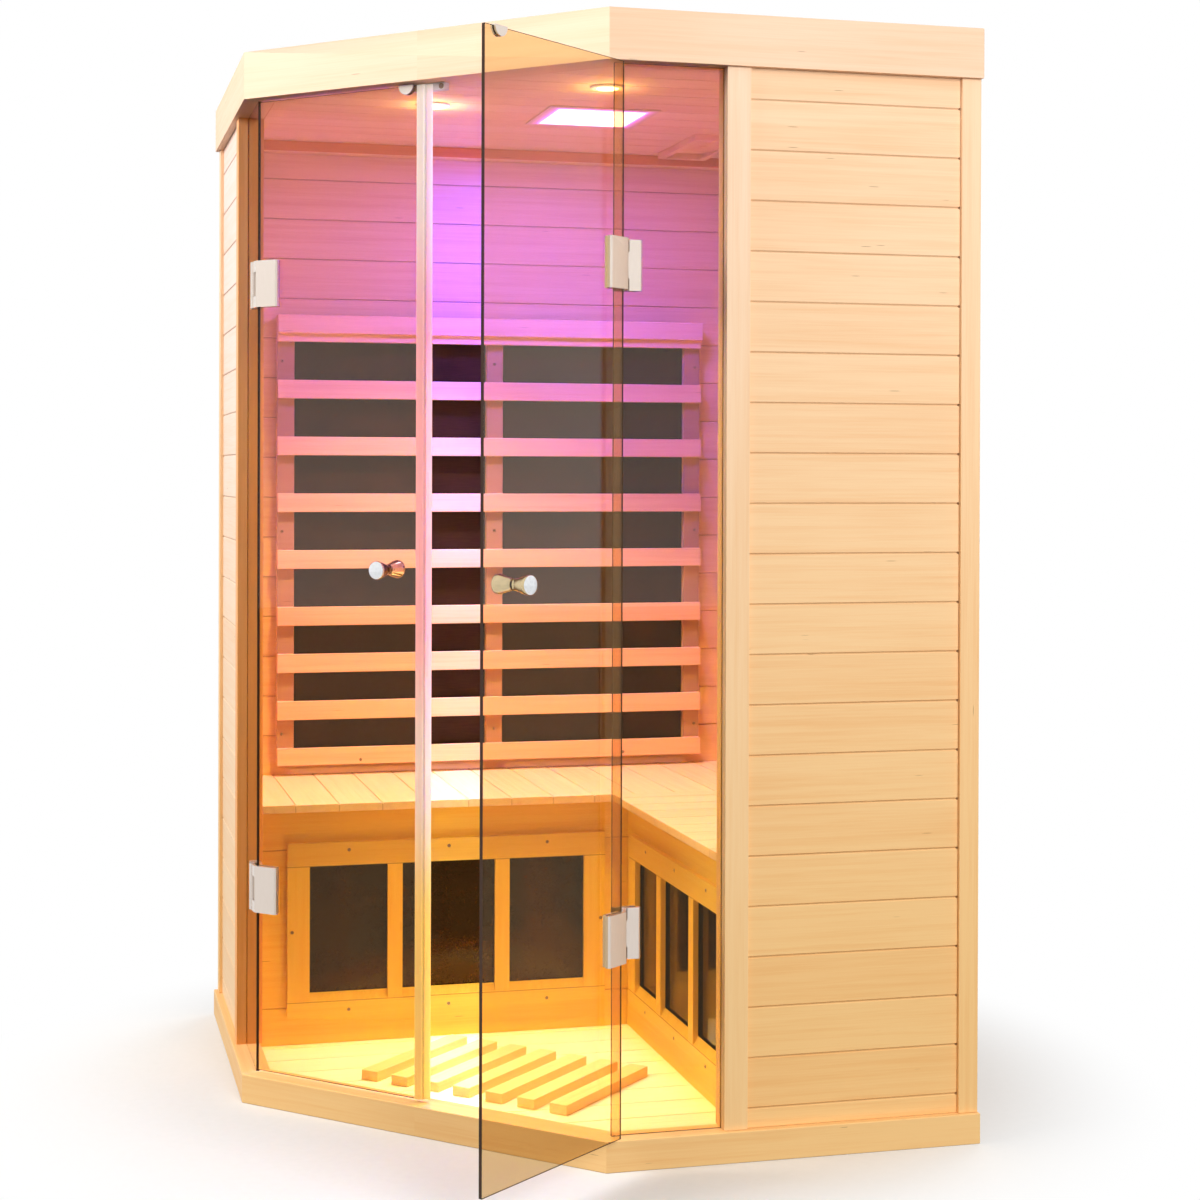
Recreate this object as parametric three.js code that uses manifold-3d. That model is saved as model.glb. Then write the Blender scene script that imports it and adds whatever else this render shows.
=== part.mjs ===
// Infrared sauna cabin for the corner of a room, in millimetres with +Z up.
// The plan is a square whose front corner is cut off, and two glass doors stand on that diagonal.
// The origin is the middle of the square, on the floor under the cabin.
// The back walls face +X and +Y. Most pieces come in pairs, mirrored over the upright plane x = y:
// each is drawn once, on the right-hand side, and its twin on the left is the mirror image.

import * as THREE from 'three';
import { mergeVertices } from 'three/addons/utils/BufferGeometryUtils.js';
import Module from 'manifold-3d';

const wasm = await Module();
wasm.setup();

// Envelope
const CABIN_WIDTH = 1200;
const SIDE_LENGTH = 660;
const CABIN_HEIGHT = 1900;
const BASE_HEIGHT = 52;
const BASE_DEPTH = 55;
const FASCIA_HEIGHT = 85;

// Gap left between pieces that sit against each other
const FIT = 0.3;

// How far a cutting shape passes the face it cuts, and a joined one sinks into its neighbour
const OVERRUN = 1;

// Boards
const BOARD_PITCH = 83.9;
const TOP_BOARD = 51.7;
const JOINT_WIDTH = 4;
const JOINT_DEPTH = 2.5;
const WALL_INSET = 14.5;
const WALL_THICKNESS = 35.5;
const BACK_WALL_INSET = 6;
const BACK_WALL_THICKNESS = 14;
const BACK_TOP_BOARD = 54;
const FLOOR_HEIGHT = 33;
const FLOOR_REAR_BOARD = 42;

// Posts
const POST_INSET = 8;
const POST_DEPTH = 50;
const CORNER_POST_WIDTH = 35;
const CORNER_POST_INSET = 2;
const GLASS_POST_WIDTH = 41;
const GLASS_POST_SETBACK = 204.5;
const GLASS_GROOVE_DEPTH = 8;

// Glass
const GLASS_THICKNESS = 6;
const SIDE_GLASS_INSET = 27;
const SIDE_GLASS_SETBACK = 13.5;
const DOOR_INSET = 24;
const DOOR_HINGE_GAP = 4;
const DOOR_MEETING_GAP = 5;
const DOOR_BOTTOM_GAP = 5;
const DOOR_TOP_GAP = 3.5;
const RIGHT_DOOR_OPENING = THREE.MathUtils.degToRad(85);

// Hinges
const HINGE_HEIGHT = 84;
const HINGE_FROM_END = 329;
const DOOR_LEAF_REACH = 46;
const FIXED_LEAF_REACH = 49;
const HINGE_BACK_INSET = 6;
const HINGE_PLATE = 8;
const HINGE_BACK_PLATE = 6;
const HINGE_BEVEL = 3;
const KNUCKLE_GAP = 1;
const PIN_RADIUS = 3.2;
const KNUCKLE_WALL = 2;
const KNUCKLE_HEIGHT = 43;
const PIN_SETBACK = 20;
const PIN_END_GAP = 1;
const PIN_STANDOFF = 6;
const NOTCH_DEPTH = 22;
const NOTCH_MARGIN = 1;

// Knobs
const KNOB_HEIGHT = 972;
const KNOB_FROM_EDGE = 77;
const KNOB_LENGTH = 32;
const KNOB_FACE_RADIUS = 16;
const KNOB_FOOT_RADIUS = 9.5;
const STUD_RADIUS = 4;
const STUD_ENGAGEMENT = 10;
const STUD_END_GAP = 1;
const STUD_HOLE_MARGIN = 1;

// Seal, strikes and catch
const SEAL_GRIP = 13.5;
const SEAL_WALL = 1.4;
const SEAL_FIN = 13.5;
const STRIKE_RADIUS = 15;
const STRIKE_FROM_EDGE = 36;
const STRIKE_THICKNESS = 3;
const STRIKE_CAP = 1.5;
const CATCH_SETBACK = 4;
const CATCH_DEPTH = 13;
const CATCH_HEIGHT = 13;
const CATCH_GAP = 0.7;

// Roof
const CORNICE_DEPTH = 60;
const CEILING_SEAT = 40;
const COVER_SEAT = 20;
const CEILING_RECESS = 21;
const PANEL_THICKNESS = 10;
const COVER_RECESS = 8;

// Lights
const LED_FROM_BACK_WALLS = 496;
const LED_BEZEL_SIZE = 220;
const LED_DIFFUSER_SIZE = 180;
const LED_BEZEL_DEPTH = 2.5;
const LED_DIFFUSER_PROUD = 0.5;
const SPOT_SETBACK = 319;
const SPOT_SPACING = 378;
const SPOT_RIM_RADIUS = 32;
const SPOT_BODY_RADIUS = 25;
const SPOT_RIM_DEPTH = 4;

// Ceiling vent
const VENT_FROM_RIGHT_WALL = 134;
const VENT_FROM_LEFT_WALL = 74;
const VENT_WIDTH = 106;
const VENT_LENGTH = 275;
const VENT_RAIL = 14;
const VENT_LIP = 6;
const VENT_LIP_THICKNESS = 4;
const VENT_SLIDE_THICKNESS = 8;
const VENT_TRAVEL = 83;
const VENT_SLIDE_LENGTH = 130;
const VENT_PULL_RADIUS = 9;

// Supply
const CONTROL_BOX_LENGTH = 300;
const CONTROL_BOX_WIDTH = 180;
const CONTROL_BOX_HEADROOM = 4;
const CONTROL_BOX_FROM_LEFT = 350;
const CONTROL_BOX_FROM_BACK = 190;
const GLAND_FROM_LEFT = 280;
const GLAND_FROM_BACK = 130;
const GLAND_RADIUS = 10;
const GLAND_BORE = 5;
const GLAND_FLANGE = 6;
const GLAND_STANDOFF = 5;

// Bench
const BENCH_HEIGHT = 504;
const BENCH_DEPTH = 432;
const BENCH_THICKNESS = 15;
const BENCH_OVERHANG = 42;
const APRON_THICKNESS = 20;
const APRON_TOP_BOARD = 78;
const APRON_FOOT_BOARD = 72;

// Calf heaters
const CALF_FRAME_MARGIN = 51;
const CALF_FRAME_LIFT = 58;
const CALF_FRAME_DROP = 65;
const CALF_FRAME_THICKNESS = 10;
const CALF_STILE = 43;
const CALF_TOP_RAIL = 45;
const CALF_FOOT_RAIL = 25;
const CALF_SILL_RISE = 17;
const CALF_MULLION = 29;
const CALF_MIDDLE_LIGHT = 181;
const CALF_REBATE = 12;
const CALF_HEATER_RECESS = 4;
const CALF_HEATER_THICKNESS = 10;

// Backrests and back heaters
const BACKREST_SIDE_GAP = 77;
const BACKREST_CORNER_GAP = 129;
const BACKREST_LIFT = 22;
const BACKREST_STILE = 36;
const BACKREST_STILE_THICKNESS = 16;
const BACKREST_SLAT = 39;
const BACKREST_SLAT_THICKNESS = 14;
const BACKREST_FOOT_RAIL = 36;
const BACKREST_TOP_RAIL = 55.5;
const BACKREST_CAP = 38;
const BACKREST_CAP_THICKNESS = 10;
const LOW_GAP = 60;
const LOW_GAPS = 3;
const HIGH_GAP = 80.3;
const HIGH_GAPS = 5;
const BACK_HEATER_THICKNESS = 8;
const BACK_HEATER_MARGIN = 8;

// Floor slats
const FLOOR_SLATS = 7;
const FLOOR_SLAT_PITCH = 66.5;
const FLOOR_SLAT_WIDTH = 36;
const FLOOR_SLAT_LENGTH = 290;
const FLOOR_SLAT_THICKNESS = 18;
const FLOOR_SLAT_SETBACK = 142;

// Facets of the round pieces
const ROUND_SIDES = 24;

// Places that follow from the sizes above
const half = CABIN_WIDTH / 2;
const frontCorner = half - SIDE_LENGTH;
const inner = half - WALL_INSET - WALL_THICKNESS;
const backOuter = half - BACK_WALL_INSET;
const backInner = backOuter - BACK_WALL_THICKNESS;
const postInner = half - POST_INSET - POST_DEPTH;
const wallBottom = BASE_HEIGHT + FIT;
const fasciaBottom = CABIN_HEIGHT - FASCIA_HEIGHT;
const wallTop = fasciaBottom - FIT;
const ceilingBottom = fasciaBottom + CEILING_RECESS + FIT;
const ceilingTop = ceilingBottom + PANEL_THICKNESS;
const coverTop = CABIN_HEIGHT - COVER_RECESS;
const coverBottom = coverTop - PANEL_THICKNESS;
const doorBottom = BASE_HEIGHT + DOOR_BOTTOM_GAP;
const doorTop = fasciaBottom - DOOR_TOP_GAP;
const doorInner = DOOR_INSET + GLASS_THICKNESS;
const hingeHeights = [doorBottom + HINGE_FROM_END, doorTop - HINGE_FROM_END];

// Finishes
const hemlock = { color: '#f0d0a2', roughness: 0.62, metalness: 0 };
const hemlockDark = { color: '#e6bf8a', roughness: 0.65, metalness: 0 };
const bronzeGlass = { color: '#8f7f5e', roughness: 0.04, metalness: 0, transparent: true, opacity: 0.35 };
const satinNickel = { color: '#b9b4ab', roughness: 0.32, metalness: 1 };
const chrome = { color: '#d5d7da', roughness: 0.08, metalness: 1 };
const clearStrip = { color: '#f3f3f1', roughness: 0.35, metalness: 0, transparent: true, opacity: 0.7 };
const carbonPanel = { color: '#37353a', roughness: 0.7, metalness: 0 };
const darkGlass = { color: '#2a1d14', roughness: 0.12, metalness: 0 };
const whitePlastic = { color: '#efeff2', roughness: 0.45, metalness: 0 };
const lampFace = { color: '#f4ecff', roughness: 0.5, metalness: 0 };
const blackPlastic = { color: '#232323', roughness: 0.5, metalness: 0 };
const greyPlastic = { color: '#8b8d90', roughness: 0.45, metalness: 0 };

// Shapes

function box(x0, x1, y0, y1, z0, z1) {
  const geometry = new THREE.BoxGeometry(x1 - x0, y1 - y0, z1 - z0);
  return geometry.translate((x0 + x1) / 2, (y0 + y1) / 2, (z0 + z1) / 2);
}

function outline(points) {
  return points.map(([a, b]) => new THREE.Vector2(a, b));
}

function swapPairs(points) {
  return points.map(([a, b]) => [b, a]);
}

// Upright prism over an outline in (x, y)
function prism(points, z0, z1, holes = []) {
  const shape = new THREE.Shape(outline(points));
  shape.holes = holes.map((hole) => new THREE.Path(outline(hole)));
  const geometry = new THREE.ExtrudeGeometry(shape, { depth: z1 - z0, bevelEnabled: false });
  return geometry.translate(0, 0, z0);
}

// Bar along x with a section in (y, z)
function barAlongX(section, x0, x1) {
  const turn = new THREE.Matrix4().set(0, 0, 1, 0, 1, 0, 0, 0, 0, 1, 0, 0, 0, 0, 0, 1);
  return prism(section, x0, x1).applyMatrix4(turn);
}

// Bar along y with a section in (x, z)
function barAlongY(section, y0, y1) {
  const turn = new THREE.Matrix4().set(0, 1, 0, 0, 0, 0, 1, 0, 1, 0, 0, 0, 0, 0, 0, 1);
  return prism(swapPairs(section), y0, y1).applyMatrix4(turn);
}

function rectangle(a0, a1, b0, b1) {
  return [[a0, b0], [a1, b0], [a1, b1], [a0, b1]];
}

function circle(a, b, radius, sides = ROUND_SIDES) {
  return Array.from({ length: sides }, (_, i) => {
    const angle = (2 * Math.PI * i) / sides;
    return [a + radius * Math.cos(angle), b + radius * Math.sin(angle)];
  });
}

// Turned piece about the z axis from a profile of (radius, height), walked from the foot upwards
function turned(profile) {
  return new THREE.LatheGeometry(outline(profile), ROUND_SIDES).rotateX(Math.PI / 2);
}

function solid(geometry) {
  const bare = new THREE.BufferGeometry();
  bare.setAttribute('position', geometry.getAttribute('position'));
  bare.setIndex(geometry.getIndex());
  const merged = mergeVertices(bare);
  return new wasm.Manifold(new wasm.Mesh({
    numProp: 3,
    vertProperties: new Float32Array(merged.getAttribute('position').array),
    triVerts: new Uint32Array(merged.getIndex().array),
  }));
}

function surface(body) {
  const mesh = body.getMesh();
  const geometry = new THREE.BufferGeometry();
  geometry.setAttribute('position', new THREE.BufferAttribute(mesh.vertProperties, 3));
  geometry.setIndex(new THREE.BufferAttribute(mesh.triVerts, 1));
  return geometry;
}

function join(first, ...others) {
  return surface(others.reduce((sum, piece) => sum.add(solid(piece)), solid(first)));
}

function cut(first, ...tools) {
  return surface(tools.reduce((rest, tool) => rest.subtract(solid(tool)), solid(first)));
}

function common(first, second) {
  return surface(solid(first).intersect(solid(second)));
}

// Mirror image over the plane x = y
function twin(geometry) {
  const copy = geometry.index ? geometry.toNonIndexed() : geometry.clone();
  const place = copy.getAttribute('position');
  for (let i = 0; i < place.count; i += 3) {
    const corners = [i, i + 2, i + 1].map((k) => [place.getY(k), place.getX(k), place.getZ(k)]);
    corners.forEach((corner, k) => place.setXYZ(i + k, ...corner));
  }
  return copy;
}

// Five-sided plan of the cabin, drawn in from every face
function plan(inset) {
  const edge = half - inset;
  const corner = edge - SIDE_LENGTH + inset * Math.SQRT2;
  return [[edge, edge], [-edge, edge], [-edge, corner], [corner, -edge], [edge, -edge]];
}

// Section of a boarded panel as (through, along) points, with a V joint at each board edge
function boarded(near, far, start, end, joints, grooved) {
  const notch = (face, step) => (place) => [
    [face, place - (JOINT_WIDTH / 2) * Math.sign(step)],
    [face + JOINT_DEPTH * Math.sign(far - near) * Math.sign(step), place],
    [face, place + (JOINT_WIDTH / 2) * Math.sign(step)],
  ];
  const up = grooved.near ? joints.flatMap(notch(near, 1)) : [];
  const down = grooved.far ? [...joints].reverse().flatMap(notch(far, -1)) : [];
  return [[near, start], ...up, [near, end], [far, end], ...down, [far, start]];
}

// Board joints every pitch from a first one, kept clear of both ends
function jointsBetween(first, start, end) {
  const places = [];
  for (let place = first; place > start + JOINT_WIDTH; place -= BOARD_PITCH) {
    if (place < end - JOINT_WIDTH) {
      places.unshift(place);
    }
  }
  return places;
}

// Scene graph: one group per moving body

const cabin = new THREE.Group();

function add(group, name, geometry, finish) {
  const material = new THREE.MeshStandardMaterial({ ...finish, flatShading: true });
  const mesh = new THREE.Mesh(geometry, material);
  mesh.name = name;
  group.add(mesh);
}

// A piece drawn on the right-hand side, with its mirror image on the left
function addPair(name, geometry, finish) {
  add(cabin, `left_${name}`, twin(geometry), finish);
  add(cabin, `right_${name}`, geometry, finish);
}

// The diagonal front has its own axes: t runs along it to the right, c runs into the cabin
const frontMiddle = (frontCorner - half) / 2;
const frontTurn = new THREE.Matrix4()
  .makeRotationZ(-Math.PI / 4)
  .setPosition(frontMiddle, frontMiddle, 0);

function onFront(geometry) {
  return geometry.applyMatrix4(frontTurn);
}

function frontPoint(x, y) {
  const across = x - frontMiddle;
  const deep = y - frontMiddle;
  return { t: (across - deep) * Math.SQRT1_2, c: (across + deep) * Math.SQRT1_2 };
}

// Base, floor and floor slats

function addBase() {
  add(cabin, 'base_frame', prism(plan(0), 0, BASE_HEIGHT, [plan(BASE_DEPTH)]), hemlock);
  const edge = half - BASE_DEPTH - FIT;
  const joints = jointsBetween(edge - FLOOR_REAR_BOARD, -edge, edge);
  const section = swapPairs(boarded(FLOOR_HEIGHT, 0, -edge, edge, joints, { near: true }));
  const boards = barAlongX(section, -edge, edge);
  const shape = prism(plan(BASE_DEPTH + FIT), -OVERRUN, FLOOR_HEIGHT + OVERRUN);
  add(cabin, 'floor_panel', common(boards, shape), hemlock);
}

function addFloorSlats() {
  const bottom = FLOOR_HEIGHT + FIT;
  for (let i = 0; i < FLOOR_SLATS; i += 1) {
    const middle = (i - (FLOOR_SLATS - 1) / 2) * FLOOR_SLAT_PITCH;
    const slat = box(
      middle - FLOOR_SLAT_WIDTH / 2, middle + FLOOR_SLAT_WIDTH / 2,
      FLOOR_SLAT_SETBACK, FLOOR_SLAT_SETBACK + FLOOR_SLAT_LENGTH,
      bottom, bottom + FLOOR_SLAT_THICKNESS,
    );
    add(cabin, `floor_slat_${i + 1}`, onFront(slat), hemlock);
  }
}

// Walls and posts

const glassPostX = frontCorner + GLASS_POST_SETBACK;
const cornerPostX = half - CORNER_POST_INSET - CORNER_POST_WIDTH;
const sideGlassOuter = -half + SIDE_GLASS_INSET;
const sideGlassInner = sideGlassOuter + GLASS_THICKNESS;

function addPosts() {
  const post = box(
    glassPostX, glassPostX + GLASS_POST_WIDTH,
    -half + POST_INSET, -postInner,
    wallBottom, wallTop,
  );
  const groove = box(
    glassPostX - OVERRUN, glassPostX + GLASS_GROOVE_DEPTH,
    sideGlassOuter - FIT, sideGlassInner + FIT,
    wallBottom - OVERRUN, wallTop + OVERRUN,
  );
  addPair('glass_post', cut(post, groove), hemlock);
  const cornerPost = box(
    cornerPostX, cornerPostX + CORNER_POST_WIDTH,
    -half + POST_INSET, -inner - FIT,
    wallBottom, wallTop,
  );
  addPair('corner_post', cornerPost, hemlock);
}

function addWalls() {
  const both = { near: true, far: true };
  const outer = -half + WALL_INSET;
  const joints = jointsBetween(wallTop - TOP_BOARD, wallBottom, wallTop);
  const section = boarded(outer, -inner, wallBottom, wallTop, joints, both);
  addPair('side_wall', barAlongX(section, glassPostX + GLASS_POST_WIDTH + FIT, cornerPostX - FIT), hemlock);
  const backJoints = jointsBetween(wallTop - BACK_TOP_BOARD, wallBottom, wallTop);
  const back = boarded(backInner, backOuter, wallBottom, wallTop, backJoints, { near: true });
  add(cabin, 'left_back_wall', barAlongX(back, -inner, backOuter), hemlock);
  add(cabin, 'right_back_wall', barAlongY(back, -inner, backInner - FIT), hemlock);
}

// Fixed panes, doors and hinges, drawn shut on the right-hand side

const sideGlassEdge = frontCorner + SIDE_GLASS_SETBACK;
const pinPlace = { x: sideGlassEdge + PIN_SETBACK, y: sideGlassOuter - PIN_STANDOFF };
const pin = frontPoint(pinPlace.x, pinPlace.y);
const doorHinge = (sideGlassEdge - DOOR_HINGE_GAP - frontMiddle) * Math.SQRT2 - doorInner;
const doorFree = DOOR_MEETING_GAP / 2;
const knobPlace = doorFree + KNOB_FROM_EDGE;
const strikePlace = doorFree + STRIKE_FROM_EDGE;
const knuckleRadius = PIN_RADIUS + FIT + KNUCKLE_WALL;
const notchHalf = KNUCKLE_HEIGHT / 2 + NOTCH_MARGIN;

const cabinDoors = {
  left: { group: new THREE.Group(), x: pinPlace.y, y: pinPlace.x, opening: 0 },
  right: { group: new THREE.Group(), x: pinPlace.x, y: pinPlace.y, opening: RIGHT_DOOR_OPENING },
};
Object.values(cabinDoors).forEach((door) => {
  door.group.position.set(door.x, door.y, 0);
  door.group.rotation.z = door.opening;
  cabin.add(door.group);
});

// A door piece drawn shut, hung on its hinge line
function hang(side, name, geometry, finish) {
  const door = cabinDoors[side];
  add(door.group, `${side}_${name}`, geometry.clone().translate(-door.x, -door.y, 0), finish);
}

function hangPair(name, geometry, finish) {
  hang('left', name, twin(geometry), finish);
  hang('right', name, geometry, finish);
}

// Outline of a pane as (along, z) points, with a notch at each hinge on its hinged edge
function notchedPane(hinged, free, bottom, top) {
  const inward = Math.sign(free - hinged);
  const deep = hinged + inward * NOTCH_DEPTH;
  const notches = hingeHeights.flatMap((z) => [
    [hinged, z - notchHalf], [deep, z - notchHalf], [deep, z + notchHalf], [hinged, z + notchHalf],
  ]);
  return [[hinged, bottom], ...notches, [hinged, top], [free, top], [free, bottom]];
}

function addGlass() {
  const pane = notchedPane(sideGlassEdge, glassPostX + GLASS_GROOVE_DEPTH - FIT, wallBottom, wallTop);
  addPair('side_glass', barAlongY(pane, sideGlassOuter, sideGlassInner), bronzeGlass);
  const leaf = barAlongY(notchedPane(doorHinge, doorFree, doorBottom, doorTop), DOOR_INSET, doorInner);
  const holeOutline = circle(knobPlace, KNOB_HEIGHT, STUD_RADIUS + STUD_HOLE_MARGIN);
  const hole = barAlongY(holeOutline, DOOR_INSET - OVERRUN, doorInner + OVERRUN);
  hangPair('door_glass', onFront(cut(leaf, hole)), bronzeGlass);
}

// Hinge leaf on the door, as seen in plan around the pin: a bevelled plate on the outer face of the
// glass reaching over to two knuckles, a block through the notch, and a plate on the inner face
function doorLeaf(z) {
  const low = z - HINGE_HEIGHT / 2;
  const high = z + HINGE_HEIGHT / 2;
  const tip = doorHinge - DOOR_LEAF_REACH;
  const face = DOOR_INSET - FIT;
  const front = face - HINGE_PLATE;
  const heel = pin.t - knuckleRadius - PIN_SETBACK * 0.9;
  const plate = prism([
    [tip, face], [tip, front + HINGE_BEVEL], [tip + HINGE_BEVEL, front], [heel, front],
    [pin.t - knuckleRadius * 0.3, pin.c - knuckleRadius * 0.9],
    [pin.t - knuckleRadius * 0.9, pin.c - knuckleRadius * 0.2],
    [doorHinge + DOOR_HINGE_GAP, face],
  ], low, high);
  const barrel = prism(circle(pin.t, pin.c, knuckleRadius), low, high);
  const bore = prism(circle(pin.t, pin.c, PIN_RADIUS + FIT), low - OVERRUN, high + OVERRUN);
  const slotHalf = KNUCKLE_HEIGHT / 2 + FIT;
  const slot = box(
    heel - FIT, pin.t + knuckleRadius + OVERRUN,
    front - OVERRUN, pin.c + knuckleRadius + OVERRUN,
    z - slotHalf, z + slotHalf,
  );
  const back = doorInner + FIT;
  const block = box(
    doorHinge - NOTCH_DEPTH + NOTCH_MARGIN, doorHinge - NOTCH_MARGIN,
    face - OVERRUN, back + OVERRUN,
    z - notchHalf + NOTCH_MARGIN, z + notchHalf - NOTCH_MARGIN,
  );
  const backPlate = box(
    tip + HINGE_BACK_INSET, doorHinge - NOTCH_MARGIN,
    back, back + HINGE_BACK_PLATE,
    low, high,
  );
  const knuckles = cut(join(plate, barrel), bore, slot);
  return onFront(join(knuckles, block, backPlate));
}

// Hinge leaf on the fixed pane: a bevelled plate, the middle knuckle with the pin in it, a block
// through the notch and a plate on the inner face
function fixedLeaf(z) {
  const low = z - HINGE_HEIGHT / 2;
  const high = z + HINGE_HEIGHT / 2;
  const knuckleLow = z - KNUCKLE_HEIGHT / 2;
  const knuckleHigh = z + KNUCKLE_HEIGHT / 2;
  const { x, y } = pinPlace;
  const tip = sideGlassEdge + FIXED_LEAF_REACH;
  const face = sideGlassOuter - FIT;
  const front = face - HINGE_PLATE;
  const heel = x + knuckleRadius + KNUCKLE_GAP;
  const bevelled = (start) => [
    [start, face], [start, front], [tip - HINGE_BEVEL, front], [tip, front + HINGE_BEVEL], [tip, face],
  ];
  const plate = prism(bevelled(heel), low, high);
  const root = sideGlassEdge + NOTCH_MARGIN;
  const tongue = prism(bevelled(root), knuckleLow, knuckleHigh);
  const barrel = prism(circle(x, y, knuckleRadius), knuckleLow, knuckleHigh);
  const hingePin = prism(circle(x, y, PIN_RADIUS), low + PIN_END_GAP, high - PIN_END_GAP);
  const back = sideGlassInner + FIT;
  const block = box(
    root, sideGlassEdge + NOTCH_DEPTH - NOTCH_MARGIN,
    face - OVERRUN, back + OVERRUN,
    z - notchHalf + NOTCH_MARGIN, z + notchHalf - NOTCH_MARGIN,
  );
  const backPlate = box(root, tip - HINGE_BACK_INSET, back, back + HINGE_BACK_PLATE, low, high);
  return join(plate, tongue, barrel, hingePin, block, backPlate);
}

function addHinges() {
  ['lower', 'upper'].forEach((place, i) => {
    addPair(`${place}_hinge_leaf`, fixedLeaf(hingeHeights[i]), satinNickel);
    hangPair(`${place}_door_leaf`, doorLeaf(hingeHeights[i]), satinNickel);
  });
}

// Knobs: two cones, narrow ends to the glass, the outer one with the stud that the inner one screws onto

function knobProfile() {
  return [
    [KNOB_FOOT_RADIUS, 0], [KNOB_FOOT_RADIUS, KNOB_LENGTH * 0.12],
    [KNOB_FACE_RADIUS, KNOB_LENGTH * 0.75], [KNOB_FACE_RADIUS, KNOB_LENGTH * 0.94],
    [KNOB_FACE_RADIUS * 0.9, KNOB_LENGTH], [0, KNOB_LENGTH],
  ];
}

function addKnobs() {
  const studEnd = GLASS_THICKNESS + 2 * FIT + STUD_ENGAGEMENT - STUD_END_GAP;
  const outer = turned([[0, -studEnd], [STUD_RADIUS, -studEnd], [STUD_RADIUS, 0], ...knobProfile()]);
  const socket = STUD_RADIUS + FIT;
  const innerKnob = turned([[0, STUD_ENGAGEMENT], [socket, STUD_ENGAGEMENT], [socket, 0], ...knobProfile()]);
  outer.rotateX(Math.PI / 2).translate(knobPlace, DOOR_INSET - FIT, KNOB_HEIGHT);
  innerKnob.rotateX(-Math.PI / 2).translate(knobPlace, doorInner + FIT, KNOB_HEIGHT);
  hangPair('outer_knob', onFront(outer), chrome);
  hangPair('inner_knob', onFront(innerKnob), chrome);
}

// Strip seal on the left door: it grips the glass edge, and its fin closes the gap behind the right door
function addSeal() {
  const edge = -doorFree;
  const outside = DOOR_INSET - FIT;
  const inside = doorInner + FIT;
  const web = edge + FIT;
  const section = [
    [edge - SEAL_GRIP, outside - SEAL_WALL], [web + SEAL_WALL, outside - SEAL_WALL],
    [web + SEAL_WALL, inside + FIT], [edge + SEAL_FIN, inside + FIT],
    [edge + SEAL_FIN, inside + FIT + SEAL_WALL], [edge - SEAL_GRIP, inside + FIT + SEAL_WALL],
    [edge - SEAL_GRIP, inside], [web, inside], [web, outside], [edge - SEAL_GRIP, outside],
  ];
  hang('left', 'door_seal', onFront(prism(section, doorBottom, doorTop)), clearStrip);
}

// Half-moon strikes folded over the top of each door, and the double magnet catch behind them
function addCatch() {
  const outside = DOOR_INSET - FIT;
  const inside = doorInner + FIT;
  const capBottom = doorTop + FIT;
  const moon = circle(strikePlace, capBottom, STRIKE_RADIUS).filter(([, z]) => z < capBottom + FIT);
  const outerMoon = barAlongY(moon, outside - STRIKE_THICKNESS, outside);
  const innerMoon = barAlongY(moon, inside, inside + STRIKE_THICKNESS);
  const cap = box(
    strikePlace - STRIKE_RADIUS, strikePlace + STRIKE_RADIUS,
    outside - STRIKE_THICKNESS, inside + STRIKE_THICKNESS,
    capBottom, capBottom + STRIKE_CAP,
  );
  hangPair('strike', onFront(join(outerMoon, innerMoon, cap)), satinNickel);
  const reach = strikePlace - CATCH_SETBACK;
  const front = inside + STRIKE_THICKNESS + CATCH_GAP;
  const body = box(-reach, reach, front, front + CATCH_DEPTH, wallTop - CATCH_HEIGHT, wallTop);
  add(cabin, 'door_catch', onFront(body), whitePlastic);
}

// Roof ring with its fascia, ceiling and cover

const ventX = [backInner - VENT_FROM_RIGHT_WALL - VENT_WIDTH, backInner - VENT_FROM_RIGHT_WALL];
const ventY = [backInner - VENT_FROM_LEFT_WALL - VENT_LENGTH, backInner - VENT_FROM_LEFT_WALL];
const slideX = [ventX[0] + VENT_RAIL + FIT - VENT_LIP, ventX[1] - VENT_RAIL - FIT + VENT_LIP];
const slideEnd = ventY[1] - VENT_RAIL - FIT - VENT_TRAVEL;
const slideY = [slideEnd - VENT_SLIDE_LENGTH, slideEnd];
const spotPlaces = { left: -SPOT_SPACING / 2, right: SPOT_SPACING / 2 };
const glandPlace = [-half + GLAND_FROM_LEFT, half - GLAND_FROM_BACK];

function ventHole(z0, z1) {
  const margin = VENT_RAIL;
  return box(slideX[0] + margin, slideX[1] - margin, slideY[0] + margin, slideY[1] - margin, z0, z1);
}

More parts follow.
